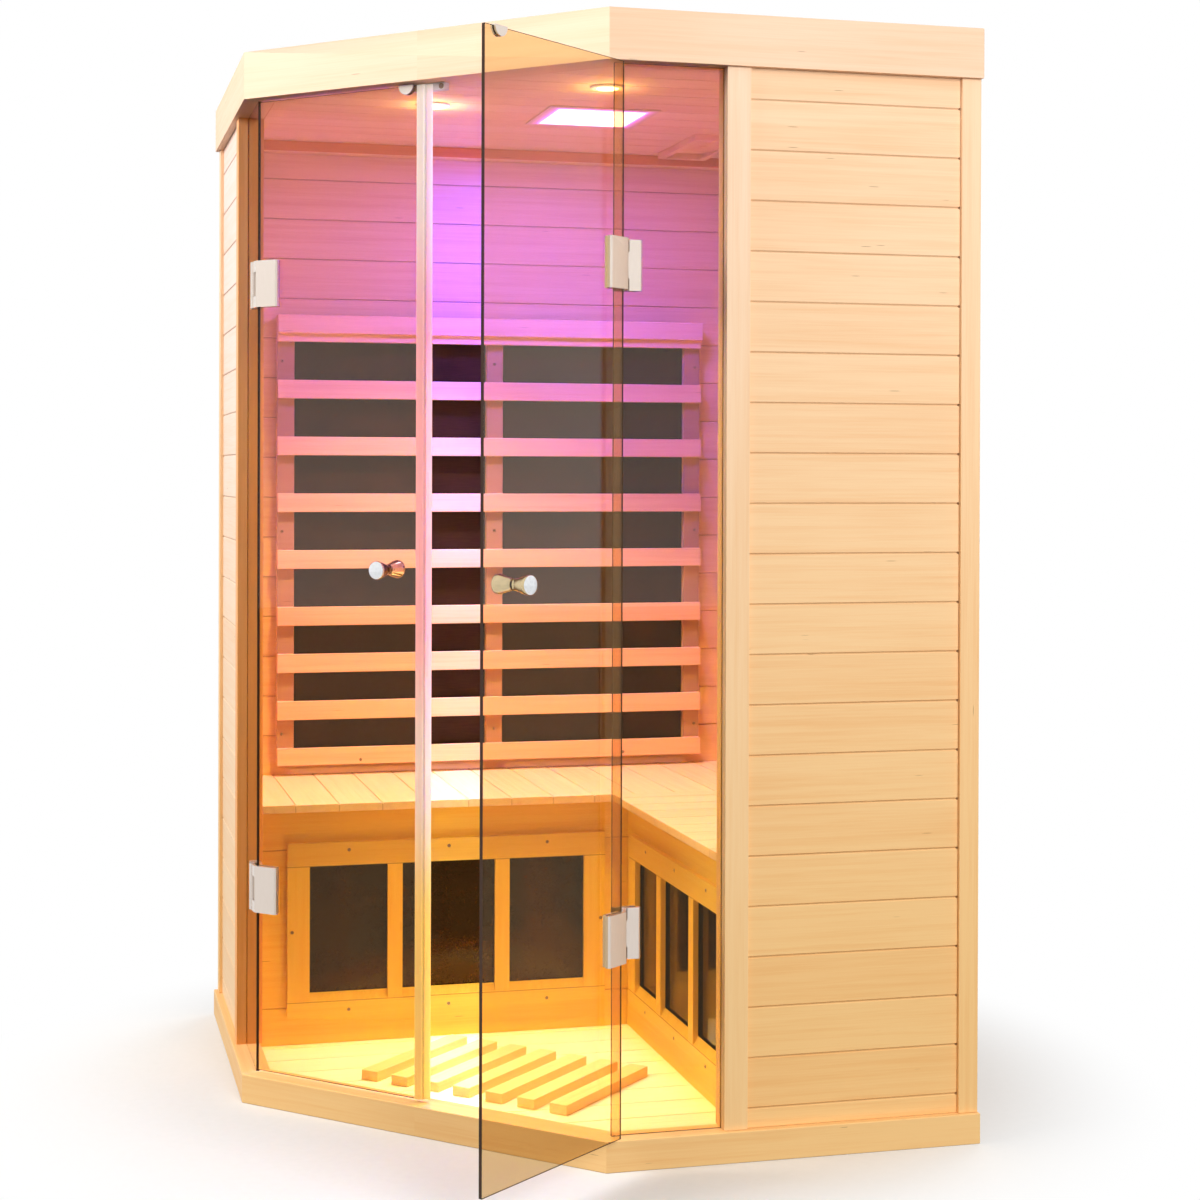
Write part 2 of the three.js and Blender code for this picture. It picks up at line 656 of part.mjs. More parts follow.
function addRoof() {
  const ring = prism(plan(0), fasciaBottom, CABIN_HEIGHT, [plan(CORNICE_DEPTH)]);
  const ceilingSeat = prism(plan(CEILING_SEAT), ceilingBottom - FIT, CABIN_HEIGHT + OVERRUN);
  const coverSeat = prism(plan(COVER_SEAT), coverBottom - FIT, CABIN_HEIGHT + OVERRUN);
  add(cabin, 'roof_frame', cut(ring, ceilingSeat, coverSeat), hemlock);

  const edge = half - CEILING_SEAT - FIT;
  const joints = jointsBetween(inner - TOP_BOARD, -edge, edge);
  const section = swapPairs(boarded(ceilingBottom, ceilingTop, -edge, edge, joints, { near: true }));
  const boards = barAlongX(section, -edge, edge);
  const through = [ceilingBottom - OVERRUN, ceilingTop + OVERRUN];
  const shape = prism(plan(CEILING_SEAT + FIT), ...through);
  const spotHoles = Object.values(spotPlaces).map((t) => onFront(
    prism(circle(t, SPOT_SETBACK, SPOT_BODY_RADIUS + FIT), ...through),
  ));
  const vent = ventHole(...through);
  add(cabin, 'ceiling_panel', cut(common(boards, shape), ...spotHoles, vent), hemlock);

  const cover = prism(plan(COVER_SEAT + FIT), coverBottom, coverTop);
  const throughCover = [coverBottom - OVERRUN, coverTop + OVERRUN];
  const glandHole = prism(circle(...glandPlace, GLAND_RADIUS + FIT), ...throughCover);
  const outlet = ventHole(...throughCover);
  add(cabin, 'roof_cover', cut(cover, glandHole, outlet), hemlockDark);
}

// Light panel and spots

function addLights() {
  const seat = ceilingBottom - FIT;
  const middle = backInner - LED_FROM_BACK_WALLS;
  const square = (size) => rectangle(
    middle - size / 2, middle + size / 2, middle - size / 2, middle + size / 2,
  );
  const bezelBottom = seat - LED_BEZEL_DEPTH;
  const opening = square(LED_DIFFUSER_SIZE + 2 * FIT);
  add(cabin, 'led_bezel', prism(square(LED_BEZEL_SIZE), bezelBottom, seat, [opening]), whitePlastic);
  const diffuser = prism(square(LED_DIFFUSER_SIZE), bezelBottom - LED_DIFFUSER_PROUD, seat);
  add(cabin, 'led_diffuser', diffuser, lampFace);

  const roomAbove = coverBottom - ceilingTop;
  const bodyTop = ceilingTop + roomAbove * 0.7;
  const rimBottom = seat - SPOT_RIM_DEPTH;
  Object.entries(spotPlaces).forEach(([side, t]) => {
    const spot = turned([
      [0, rimBottom + SPOT_RIM_DEPTH / 2], [SPOT_BODY_RADIUS * 0.8, rimBottom + SPOT_RIM_DEPTH / 2],
      [SPOT_BODY_RADIUS * 0.9, rimBottom], [SPOT_RIM_RADIUS, rimBottom + SPOT_RIM_DEPTH / 2],
      [SPOT_RIM_RADIUS, seat], [SPOT_BODY_RADIUS, seat], [SPOT_BODY_RADIUS, bodyTop], [0, bodyTop],
    ]);
    add(cabin, `${side}_spot_light`, onFront(spot.translate(t, SPOT_SETBACK, 0)), whitePlastic);
  });
}

// Ceiling vent: a frame whose lips carry a slide that uncovers a hole in the ceiling

const ventSlide = new THREE.Group();
cabin.add(ventSlide);

function addVent() {
  const seat = ceilingBottom - FIT;
  const slideBottom = seat - FIT - VENT_SLIDE_THICKNESS;
  const lipTop = slideBottom - FIT;
  const bottom = lipTop - VENT_LIP_THICKNESS;
  const frame = box(...ventX, ...ventY, bottom, seat);
  const throat = box(
    ventX[0] + VENT_RAIL, ventX[1] - VENT_RAIL,
    ventY[0] + VENT_RAIL, ventY[1] - VENT_RAIL,
    bottom - OVERRUN, seat + OVERRUN,
  );
  const track = box(
    slideX[0] - FIT, slideX[1] + FIT,
    ventY[0] + VENT_RAIL - FIT, ventY[1] - VENT_RAIL + FIT,
    lipTop, seat + OVERRUN,
  );
  add(cabin, 'vent_rails', cut(frame, throat, track), hemlockDark);
  const slide = box(...slideX, ...slideY, slideBottom, slideBottom + VENT_SLIDE_THICKNESS);
  const middle = [(slideX[0] + slideX[1]) / 2, (slideY[0] + slideY[1]) / 2];
  const pull = prism(circle(...middle, VENT_PULL_RADIUS), slideBottom - OVERRUN, seat + OVERRUN);
  add(ventSlide, 'vent_slide', cut(slide, pull), hemlock);
}

// Control box in the roof space and the cable gland in the cover

function addSupply() {
  const x = -half + CONTROL_BOX_FROM_LEFT;
  const y = half - CONTROL_BOX_FROM_BACK;
  const shell = box(
    x, x + CONTROL_BOX_LENGTH,
    y - CONTROL_BOX_WIDTH, y,
    ceilingTop + FIT, coverBottom - CONTROL_BOX_HEADROOM,
  );
  add(cabin, 'control_box', shell, greyPlastic);
  const seat = coverTop + FIT;
  const flange = GLAND_RADIUS + GLAND_FLANGE;
  const gland = turned([
    [GLAND_BORE, coverBottom], [GLAND_RADIUS, coverBottom], [GLAND_RADIUS, seat], [flange, seat],
    [flange, seat + GLAND_STANDOFF / 2], [GLAND_RADIUS, seat + GLAND_STANDOFF],
    [GLAND_BORE, seat + GLAND_STANDOFF], [GLAND_BORE, coverBottom],
  ]);
  add(cabin, 'cable_gland', gland.translate(...glandPlace, 0), blackPlastic);
}

// Bench: the left top runs into the corner and the right top butts against it

const benchEdge = backInner - BENCH_DEPTH;
const benchEnd = -postInner + FIT;
const benchBottom = BENCH_HEIGHT - BENCH_THICKNESS;
const apronFace = benchEdge + BENCH_OVERHANG;
const apronBack = apronFace + APRON_THICKNESS;
const apronBottom = FLOOR_HEIGHT + FIT;
const apronTop = benchBottom - FIT;
const wallSide = backInner - FIT;

function addBench() {
  const grooved = { near: true };
  const topSection = (end) => swapPairs(boarded(
    BENCH_HEIGHT, benchBottom, benchEnd, end, jointsBetween(end - TOP_BOARD, benchEnd, end), grooved,
  ));
  add(cabin, 'left_bench_top', barAlongY(topSection(wallSide), benchEdge, wallSide), hemlock);
  add(cabin, 'right_bench_top', barAlongX(topSection(benchEdge - FIT), benchEdge, wallSide), hemlock);
}

// Opening of the calf heater's frame in the left apron
const calfFrame = {
  x0: benchEnd + CALF_FRAME_MARGIN,
  x1: apronFace - CALF_FRAME_MARGIN,
  z0: FLOOR_HEIGHT + CALF_FRAME_LIFT,
  z1: benchBottom - CALF_FRAME_DROP,
};
const calf = {
  x0: calfFrame.x0 + CALF_STILE,
  x1: calfFrame.x1 - CALF_STILE,
  z0: calfFrame.z0 + CALF_FOOT_RAIL,
  z1: calfFrame.z1 - CALF_TOP_RAIL,
};

// Apron with its board joints, cut out for the heater
function apron(end) {
  const joints = [apronBottom + APRON_FOOT_BOARD, apronTop - APRON_TOP_BOARD];
  const section = boarded(apronFace, apronBack, apronBottom, apronTop, joints, { near: true });
  const cutout = box(
    calf.x0 - CALF_REBATE, calf.x1 + CALF_REBATE,
    apronFace - OVERRUN, apronBack + OVERRUN,
    calf.z0 - CALF_REBATE, calf.z1 + CALF_REBATE,
  );
  return cut(barAlongX(section, benchEnd, end), cutout);
}

function addCalfHeaters() {
  add(cabin, 'left_bench_apron', apron(apronBack), hemlock);
  add(cabin, 'right_bench_apron', twin(apron(apronFace - FIT)), hemlock);

  const middle = (calf.x0 + calf.x1) / 2;
  const near = middle - CALF_MIDDLE_LIGHT / 2;
  const far = middle + CALF_MIDDLE_LIGHT / 2;
  const back = apronFace - FIT;
  const front = back - CALF_FRAME_THICKNESS;
  const board = box(calfFrame.x0, calfFrame.x1, front, back, calfFrame.z0, calfFrame.z1);
  const lights = [
    [calf.x0, near - CALF_MULLION],
    [near, far],
    [far + CALF_MULLION, calf.x1],
  ].map(([x0, x1]) => box(x0, x1, front - OVERRUN, back + OVERRUN, calf.z0, calf.z1));
  const sill = [[front, calf.z0 - FIT], [back, calf.z0 - FIT], [back, calf.z0 + CALF_SILL_RISE]];
  const frame = join(cut(board, ...lights), barAlongX(sill, calf.x0 - OVERRUN, calf.x1 + OVERRUN));
  add(cabin, 'left_calf_frame', frame, hemlock);
  add(cabin, 'right_calf_frame', twin(frame), hemlock);

  const heater = box(
    calf.x0 - CALF_REBATE + FIT, calf.x1 + CALF_REBATE - FIT,
    apronFace + CALF_HEATER_RECESS, apronFace + CALF_HEATER_RECESS + CALF_HEATER_THICKNESS,
    calf.z0 - CALF_REBATE + FIT, calf.z1 + CALF_REBATE - FIT,
  );
  add(cabin, 'left_calf_heater', heater, darkGlass);
  add(cabin, 'right_calf_heater', twin(heater), darkGlass);
}

// Backrests: slats across three stiles, closer together low down, with a cap along the top

function addBackrests() {
  const x0 = -inner + BACKREST_SIDE_GAP;
  const x1 = backInner - BACKREST_CORNER_GAP;
  const heaterFace = wallSide - BACK_HEATER_THICKNESS;
  const stileBack = heaterFace - FIT;
  const stileFace = stileBack - BACKREST_STILE_THICKNESS;
  const slatFace = stileFace - BACKREST_SLAT_THICKNESS;
  const bottom = BENCH_HEIGHT + BACKREST_LIFT;

  const rails = [[bottom, bottom + BACKREST_FOOT_RAIL]];
  let z = bottom + BACKREST_FOOT_RAIL;
  for (let i = 0; i < LOW_GAPS + HIGH_GAPS - 1; i += 1) {
    z += i < LOW_GAPS ? LOW_GAP : HIGH_GAP;
    rails.push([z, z + BACKREST_SLAT]);
    z += BACKREST_SLAT;
  }
  z += HIGH_GAP;
  const top = z + BACKREST_TOP_RAIL;
  rails.push([z, top]);

  const middle = (x0 + x1) / 2;
  const stiles = [x0, middle - BACKREST_STILE / 2, x1 - BACKREST_STILE];
  const pieces = [
    ...stiles.map((x) => box(x, x + BACKREST_STILE, stileFace, stileBack, bottom, top)),
    ...rails.map(([low, high]) => box(x0, x1, slatFace, stileFace, low, high)),
    box(x0, x1, slatFace - BACKREST_CAP_THICKNESS, slatFace, top - BACKREST_CAP, top),
  ];
  const backrest = join(...pieces);
  add(cabin, 'left_backrest', backrest, hemlock);
  add(cabin, 'right_backrest', twin(backrest), hemlock);

  const heater = box(
    x0 + BACK_HEATER_MARGIN, x1 - BACK_HEATER_MARGIN,
    heaterFace, wallSide,
    bottom + BACK_HEATER_MARGIN, top - BACK_HEATER_MARGIN,
  );
  add(cabin, 'left_back_heater', heater, carbonPanel);
  add(cabin, 'right_back_heater', twin(heater), carbonPanel);
}

addBase();
addFloorSlats();
addPosts();
addWalls();
addGlass();
addHinges();
addKnobs();
addSeal();
addCatch();
addRoof();
addLights();
addVent();
addSupply();
addBench();
addCalfHeaters();
addBackrests();

export default cabin;
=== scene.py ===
# %% [markdown]
# # An infrared sauna cabin
# This cabin stands in the corner of a room: five walls, two glass doors across the front corner, and a
# bench over its heaters. CAD made the solids, and they are already in place, in metres. This lesson dresses
# them in Blender: first the camera and a plain studio, then one finish after another, then the
# small pieces that a solid model leaves out, such as screws, turned knobs and lamp lenses.

# %% The CAD solids
import math

import bmesh
import bpy
from mathutils import Matrix, Vector


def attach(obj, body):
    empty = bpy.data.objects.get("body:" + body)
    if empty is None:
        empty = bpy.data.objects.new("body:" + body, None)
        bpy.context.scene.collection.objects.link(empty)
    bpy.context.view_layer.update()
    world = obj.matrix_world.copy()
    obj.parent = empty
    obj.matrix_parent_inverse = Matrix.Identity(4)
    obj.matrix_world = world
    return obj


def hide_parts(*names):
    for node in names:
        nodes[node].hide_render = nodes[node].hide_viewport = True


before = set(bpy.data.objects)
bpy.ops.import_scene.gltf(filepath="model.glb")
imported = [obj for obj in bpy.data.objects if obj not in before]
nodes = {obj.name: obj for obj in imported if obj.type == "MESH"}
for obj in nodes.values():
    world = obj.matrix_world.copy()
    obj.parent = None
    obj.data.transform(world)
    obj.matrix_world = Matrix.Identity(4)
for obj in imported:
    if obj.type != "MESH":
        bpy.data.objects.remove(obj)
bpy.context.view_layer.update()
scene = bpy.context.scene

# %% [markdown]
# ## Camera
# A camera can be placed by eye, or worked out from the picture to be matched. Here the corners of the fascia
# and of the base gave the place, the heading and the focal length. The picture was cropped a little
# off centre, and the lens shift repeats that crop without tilting the upright edges.

# %% Camera
CAMERA_PLACE = Vector((-0.95009, -3.98473, 1.14020))
CAMERA_HEADING, CAMERA_TILT, CAMERA_ROLL = (math.radians(a) for a in (14.3066, -0.33407, 0.17058))
CAMERA_LENS = 64.554
CAMERA_SHIFT = (0.00667, -0.0945)


def camera_turn(heading, tilt, roll):
    """Camera axes for a heading away from +Y, a tilt above the horizon and a roll."""
    ahead = Vector((math.sin(heading) * math.cos(tilt), math.cos(heading) * math.cos(tilt), math.sin(tilt)))
    level = Vector((math.cos(heading), -math.sin(heading), 0))
    upright = level.cross(ahead)
    right = level * math.cos(roll) + upright * math.sin(roll)
    top = upright * math.cos(roll) - level * math.sin(roll)
    return Matrix((right, top, -ahead)).transposed()


camera = bpy.data.objects.new("camera", bpy.data.cameras.new("camera"))
camera.data.lens = CAMERA_LENS
camera.data.sensor_width = 36
camera.data.shift_x, camera.data.shift_y = CAMERA_SHIFT
turn = camera_turn(CAMERA_HEADING, CAMERA_TILT, CAMERA_ROLL)
camera.matrix_world = Matrix.Translation(CAMERA_PLACE) @ turn.to_4x4()
scene.collection.objects.link(camera)
scene.camera = camera
print("camera:", camera.data.lens, "mm lens,", round(CAMERA_PLACE.length, 2), "m from the middle of the cabin")

# %% [markdown]
# ## Node helpers
# Materials and Geometry Nodes are both trees of nodes. A few short helpers keep the trees readable:
# one sets or links a socket, one adds a node, and the others add the nodes used most.

# %% Node helpers
def feed(tree, socket, value):
    """Link a socket to another one, or set its value."""
    if isinstance(value, bpy.types.NodeSocket):
        tree.links.new(value, socket)
    else:
        socket.default_value = value


def add_node(tree, kind, inputs=None, **settings):
    made = tree.nodes.new(kind)
    for key, value in settings.items():
        setattr(made, key, value)
    for name, value in (inputs or {}).items():
        feed(tree, made.inputs[name], value)
    return made


def calc(tree, operation, *values, clamp=False):
    made = add_node(tree, "ShaderNodeMath", operation=operation, use_clamp=clamp)
    for socket, value in zip(made.inputs, values):
        feed(tree, socket, value)
    return made.outputs[0]


def ramp(tree, value, low, high, start=0.0, end=1.0):
    """Smooth step from start to end while value goes from low to high."""
    made = add_node(tree, "ShaderNodeMapRange", interpolation_type="SMOOTHSTEP")
    for socket, given in zip(made.inputs, (value, low, high, start, end)):
        feed(tree, socket, given)
    return made.outputs[0]


def mix_color(tree, factor, first, second, mode="MIX"):
    made = add_node(tree, "ShaderNodeMix", data_type="RGBA", blend_type=mode)
    for socket, given in zip((made.inputs[0], made.inputs[6], made.inputs[7]), (factor, first, second)):
        feed(tree, socket, given)
    return made.outputs[2]


def noise(tree, vector, stretch, detail=2.0, roughness=0.5):
    """Noise whose features are 1 / stretch metres long on each axis."""
    scaled = add_node(tree, "ShaderNodeVectorMath", {0: vector, 1: stretch}, operation="MULTIPLY")
    settings = {"Vector": scaled.outputs[0], "Scale": 1.0, "Detail": detail, "Roughness": roughness}
    return add_node(tree, "ShaderNodeTexNoise", settings).outputs[0]


def tone(code):
    """A colour written as #rrggbb, as the linear colour that shaders work in."""
    shares = [int(code[i:i + 2], 16) / 255 for i in (1, 3, 5)]
    return (*[s / 12.92 if s <= 0.04045 else ((s + 0.055) / 1.055) ** 2.4 for s in shares], 1.0)


def new_group(name, inputs, outputs):
    """Empty shader node group with named sockets, given as (name, kind, default)."""
    group = bpy.data.node_groups.new(name, "ShaderNodeTree")
    for label, kind, default in inputs:
        socket = group.interface.new_socket(label, in_out="INPUT", socket_type="NodeSocket" + kind)
        if default is not None:
            socket.default_value = default
    for label, kind in outputs:
        group.interface.new_socket(label, in_out="OUTPUT", socket_type="NodeSocket" + kind)
    return group, add_node(group, "NodeGroupInput").outputs, add_node(group, "NodeGroupOutput").inputs


def use_group(tree, group, **inputs):
    made = add_node(tree, "ShaderNodeGroup", node_tree=group)
    for name, value in inputs.items():
        feed(tree, made.inputs[name.replace("_", " ")], value)
    return made.outputs


def new_material(name, **constants):
    """Material with a Principled BSDF whose plain values are set on its own sockets."""
    material = bpy.data.materials.new(name)
    material.use_nodes = True
    tree = material.node_tree
    shader = tree.nodes["Principled BSDF"]
    for key, value in constants.items():
        shader.inputs[key.replace("_", " ")].default_value = value
    return material, tree, shader


def object_place(tree):
    return add_node(tree, "ShaderNodeTexCoord").outputs["Object"]


def add_bump(tree, shader, height, distance, strength=1.0):
    settings = {"Height": height, "Distance": distance, "Strength": strength}
    feed(tree, shader.inputs["Normal"], add_node(tree, "ShaderNodeBump", settings).outputs[0])


print("node helpers ready")

# %% [markdown]
# ## Studio
# The floor is pale and turns to pure white a few steps away, so no horizon shows. The world is plain white
# to the camera, to mirrors and to glass, and softer as a light, because a white that bright from every side
# would wash out the wood. Three large soft lamps give the rest. A pane would lay the white floor over all that
# stands behind it, so the floor is nearly dark to the sharp mirror of the glass and bright to satin metal.

# %% Studio
AMBIENT = 0.30
LAMPS = {
    "key": ((-3.9, -0.7, 3.0), 2.4, 185.0),
    "fill": ((1.0, -4.4, 2.3), 2.4, 152.0),
    "rear": ((3.0, 3.2, 3.2), 3.0, 85.0),
}
FLOOR_SIZE = 30.0
FLOOR_LOSS = 0.8
FADE_START, FADE_END = 0.64, 1.15
IN_GLASS, IN_METAL = 0.05, 0.9


def seen_rays(tree):
    """Light Path values: 1 for rays straight from the camera or through glass, and 1 for rays off a mirror."""
    rays = add_node(tree, "ShaderNodeLightPath").outputs
    unspread = calc(tree, "LESS_THAN", rays["Diffuse Depth"], 0.5)
    straight = calc(tree, "MAXIMUM", rays["Is Camera Ray"], rays["Is Transmission Ray"])
    through = calc(tree, "MULTIPLY", straight, unspread)
    turned_back = calc(tree, "SUBTRACT", rays["Is Glossy Ray"], through, clamp=True)
    mirrored = calc(tree, "MULTIPLY", turned_back, unspread)
    return through, mirrored, rays


def light_world():
    world = bpy.data.worlds.new("studio")
    scene.world = world
    world.use_nodes = True
    tree = world.node_tree
    through, mirrored, _ = seen_rays(tree)
    seen = calc(tree, "MAXIMUM", through, mirrored)
    back = tree.nodes["Background"]
    back.inputs["Color"].default_value = (1, 1, 1, 1)
    feed(tree, back.inputs["Strength"], calc(tree, "MULTIPLY_ADD", seen, 1.0 - AMBIENT, AMBIENT))


def floor_finish():
    material, tree, shader = new_material("pale_floor", Roughness=0.9)
    place = object_place(tree)
    grain = noise(tree, place, (60, 60, 60))
    feed(tree, shader.inputs["Base Color"], mix_color(tree, grain, tone("#efeeec"), tone("#f4f3f2")))
    distance = add_node(tree, "ShaderNodeVectorMath", {0: place}, operation="LENGTH").outputs["Value"]
    through, mirrored, rays = seen_rays(tree)
    satin = calc(tree, "MULTIPLY_ADD", rays["Is Singular Ray"], IN_GLASS - IN_METAL, IN_METAL)
    strength = calc(tree, "MULTIPLY_ADD", mirrored, satin, through)
    white = add_node(tree, "ShaderNodeEmission", {"Color": (1, 1, 1, 1), "Strength": strength})
    unlit = calc(tree, "MULTIPLY_ADD", through, -FLOOR_LOSS, FLOOR_LOSS)
    far = ramp(tree, distance, FADE_START, FADE_END)
    faded = add_node(tree, "ShaderNodeMixShader", {0: calc(tree, "MAXIMUM", far, unlit)})
    tree.links.new(shader.outputs[0], faded.inputs[1])
    tree.links.new(white.outputs[0], faded.inputs[2])
    tree.links.new(faded.outputs[0], tree.nodes["Material Output"].inputs["Surface"])
    return material


def add_floor():
    half = FLOOR_SIZE / 2
    mesh = bpy.data.meshes.new("floor")
    corners = [(-half, -half, 0), (half, -half, 0), (half, half, 0), (-half, half, 0)]
    mesh.from_pydata(corners, [], [(0, 1, 2, 3)])
    mesh.materials.append(floor_finish())
    floor = bpy.data.objects.new("floor", mesh)
    scene.collection.objects.link(floor)
    return floor


def add_lamp(name, kind, place, aim, energy, color=(1, 1, 1), **settings):
    lamp = bpy.data.lights.new(name, kind)
    lamp.energy = energy
    lamp.color = color
    for key, value in settings.items():
        setattr(lamp, key, value)
    holder = bpy.data.objects.new(name, lamp)
    holder.location = place
    holder.rotation_euler = (Vector(aim) - Vector(place)).to_track_quat("-Z", "Y").to_euler()
    scene.collection.objects.link(holder)
    return holder


scene.view_settings.view_transform = "Standard"
light_world()
floor = add_floor()
for name, (place, size, energy) in LAMPS.items():
    lamp = add_lamp(name, "AREA", place, (0, 0, 1.0), energy, size=size)
    lamp.visible_glossy = lamp.visible_transmission = False
print("lamps:", ", ".join(LAMPS))

# %% [markdown]
# ## Hemlock
# The cabin is made of hemlock, a pale straight-grained timber. Its look has four parts: soft streaks
# along the board, fine lines between them, a few short dark flecks, and a slightly different
# colour from board to board. An image could hold all that, but it would repeat on every wall. Here one node
# group draws it from the coordinates, with the grain along the group's X axis. It finds out which board a
# point is on from the board width, gives each board its own shade and grain, darkens the joint line, and paints
# shade into the gap where the joint's groove ends. It also paints light by height, from the level input: the
# wood is a little warmer near the floor, where the light is warm, and paler under the roof, where it is bright.

# %% Hemlock grain group
def hemlock_group():
    group, given, out = new_group("hemlock_grain", [
        ("Vector", "Vector", None),
        ("Board Width", "Float", 10.0),
        ("First Joint", "Float", -5.0),
        ("Joint Shade", "Float", 0.35),
        ("Joint End", "Float", 99.0),
        ("Piece", "Float", 0.0),
        ("Level", "Float", 0.9),
        ("Pale", "Color", tone("#ffd6a6")),
        ("Deep", "Color", tone("#f5bd86")),
    ], [("Color", "Color"), ("Roughness", "Float"), ("Height", "Float")])
    parts = add_node(group, "ShaderNodeSeparateXYZ", {0: given["Vector"]}).outputs
    from_joint = calc(group, "SUBTRACT", parts["Y"], given["First Joint"])
    steps = calc(group, "DIVIDE", from_joint, given["Board Width"])
    board = calc(group, "ADD", calc(group, "FLOOR", steps), calc(group, "MULTIPLY", given["Piece"], 37.0))
    chance = add_node(group, "ShaderNodeTexWhiteNoise", {"W": board}, noise_dimensions="1D").outputs
    offset = add_node(group, "ShaderNodeVectorMath", {0: chance["Color"], 1: (9, 5, 5)}, operation="MULTIPLY")
    moved = add_node(group, "ShaderNodeVectorMath", {0: given["Vector"], 1: offset.outputs[0]}, operation="ADD")
    spot = moved.outputs[0]

    streaks = noise(group, spot, (1.8, 75, 75), detail=4.0, roughness=0.65)
    lines = noise(group, spot, (9, 420, 420), detail=2.0)
    cloud = noise(group, spot, (3.0, 7, 7), detail=1.0)
    shade = calc(group, "MULTIPLY_ADD", ramp(group, streaks, 0.36, 0.74), 0.46, -0.02)
    shade = calc(group, "MULTIPLY_ADD", ramp(group, lines, 0.35, 0.75), 0.20, shade)
    shade = calc(group, "MULTIPLY_ADD", ramp(group, cloud, 0.4, 0.7), 0.16, shade)
    shade = calc(group, "MULTIPLY_ADD", calc(group, "SUBTRACT", chance["Value"], 0.5), 0.34, shade, clamp=True)
    color = mix_color(group, shade, given["Pale"], given["Deep"])

    stretched = add_node(group, "ShaderNodeVectorMath", {0: spot, 1: (38, 850, 38)}, operation="MULTIPLY")
    cells = add_node(group, "ShaderNodeTexVoronoi", {"Vector": stretched.outputs[0], "Scale": 1.0}).outputs
    pick = add_node(group, "ShaderNodeSeparateColor", {0: cells["Color"]}).outputs[0]
    chosen = calc(group, "GREATER_THAN", pick, 0.9988)
    fleck = calc(group, "MULTIPLY", chosen, ramp(group, cells["Distance"], 0.5, 0.2))
    color = mix_color(group, calc(group, "MULTIPLY", fleck, 0.72), color, tone("#6d3f1d"))

    near = calc(group, "ABSOLUTE", calc(group, "SUBTRACT", steps, calc(group, "ROUND", steps)))
    gap = calc(group, "MULTIPLY", near, given["Board Width"])
    joint = calc(group, "MULTIPLY", ramp(group, gap, 0.0014, 0.0005), given["Joint Shade"])
    # Painted shade: a dark spot where each joint's groove ends in the gap at a post or wall.
    past = calc(group, "SUBTRACT", parts["X"], given["Joint End"])
    reach = calc(group, "SQRT", calc(group, "MULTIPLY_ADD", gap, gap, calc(group, "MULTIPLY", past, past)))
    joint = calc(group, "MAXIMUM", joint, ramp(group, reach, 0.0028, 0.0014, 0.0, 0.85))
    color = mix_color(group, joint, color, tone("#7d4c24"))
    # Painted light by height: warmer and deeper towards the floor, where the light is warm, paler and whiter
    # under the roof, where it is bright.
    painted_light_by_height = mix_color(group, ramp(group, given["Level"], 0.1, 1.85), (1.0, 0.94, 0.70, 1), (1.0, 1.05, 1.20, 1))
    feed(group, out["Color"], mix_color(group, 1.0, color, painted_light_by_height, "MULTIPLY"))
    feed(group, out["Roughness"], calc(group, "MULTIPLY_ADD", lines, 0.22, 0.42))
    feed(group, out["Height"], calc(group, "MULTIPLY_ADD", streaks, 0.5, lines))
    return group


HEMLOCK_GRAIN = hemlock_group()
print("hemlock group:", len(HEMLOCK_GRAIN.nodes), "nodes")

# %% [markdown]
# The base and the fascia are rings of five boards. Each board's grain follows its own side, so a second
# group finds the nearest of the five sides and turns the coordinates along it. The seams fall on
# the corners, where the real boards are mitred. The group also tells how deep a point lies behind the
# outer face.

# %% Grain round a ring of boards
HALF_WIDTH = 0.6
CUT_LINE = 0.66
ROOT_HALF = math.sqrt(0.5)


def ring_group():
    group, given, out = new_group(
        "ring_grain", [("Vector", "Vector", None)], [("Vector", "Vector"), ("Side", "Float")])
    parts = add_node(group, "ShaderNodeSeparateXYZ", {0: given["Vector"]}).outputs
    x, y, z = parts["X"], parts["Y"], parts["Z"]
    from_x = calc(group, "SUBTRACT", HALF_WIDTH, calc(group, "ABSOLUTE", x))
    from_y = calc(group, "SUBTRACT", HALF_WIDTH, calc(group, "ABSOLUTE", y))
    total = calc(group, "ADD", x, y)
    from_cut = calc(group, "MULTIPLY", calc(group, "ADD", total, CUT_LINE), ROOT_HALF)
    on_x = calc(group, "LESS_THAN", from_x, from_y)
    on_cut = calc(group, "LESS_THAN", from_cut, calc(group, "MINIMUM", from_x, from_y))
    square = add_node(group, "ShaderNodeMix", {0: on_x, 2: x, 3: y}).outputs[0]
    slant = calc(group, "MULTIPLY", calc(group, "SUBTRACT", x, y), ROOT_HALF)
    along = add_node(group, "ShaderNodeMix", {0: on_cut, 2: square, 3: slant}).outputs[0]
    depth = calc(group, "MINIMUM", from_cut, calc(group, "MINIMUM", from_x, from_y))
    vector = add_node(group, "ShaderNodeCombineXYZ", {0: along, 1: calc(group, "ADD", z, depth), 2: depth})
    side = calc(group, "MULTIPLY_ADD", calc(group, "SIGN", calc(group, "SUBTRACT", x, y)), 2.0, on_x)
    side = calc(group, "MULTIPLY_ADD", on_cut, 7.0, side)
    feed(group, out["Vector"], vector.outputs[0])
    feed(group, out["Side"], side)
    return group


RING_GRAIN = ring_group()
print("ring group:", len(RING_GRAIN.nodes), "nodes")

# %% [markdown]
# Now the hemlock goes on. For each piece the table says which axis the grain follows, which axis
# counts the boards, how wide they are and where the first joint lies. The frames and backrests hold both
# upright and level members, so two coordinate orders are mixed by where a point is. A second table gives some
# pieces their own pair of tones, and part of that is painted light: the aprons and calf frames are golden for
# the warm light under the bench, the left glass post is deeper for the shade it stands in, and the left side
# wall and the floor are paler for the bright light on them. The backrests are a little rosier.

# %% Hemlock on the solids
BOARD = 0.0839
WOOD_BUMP = 0.0003


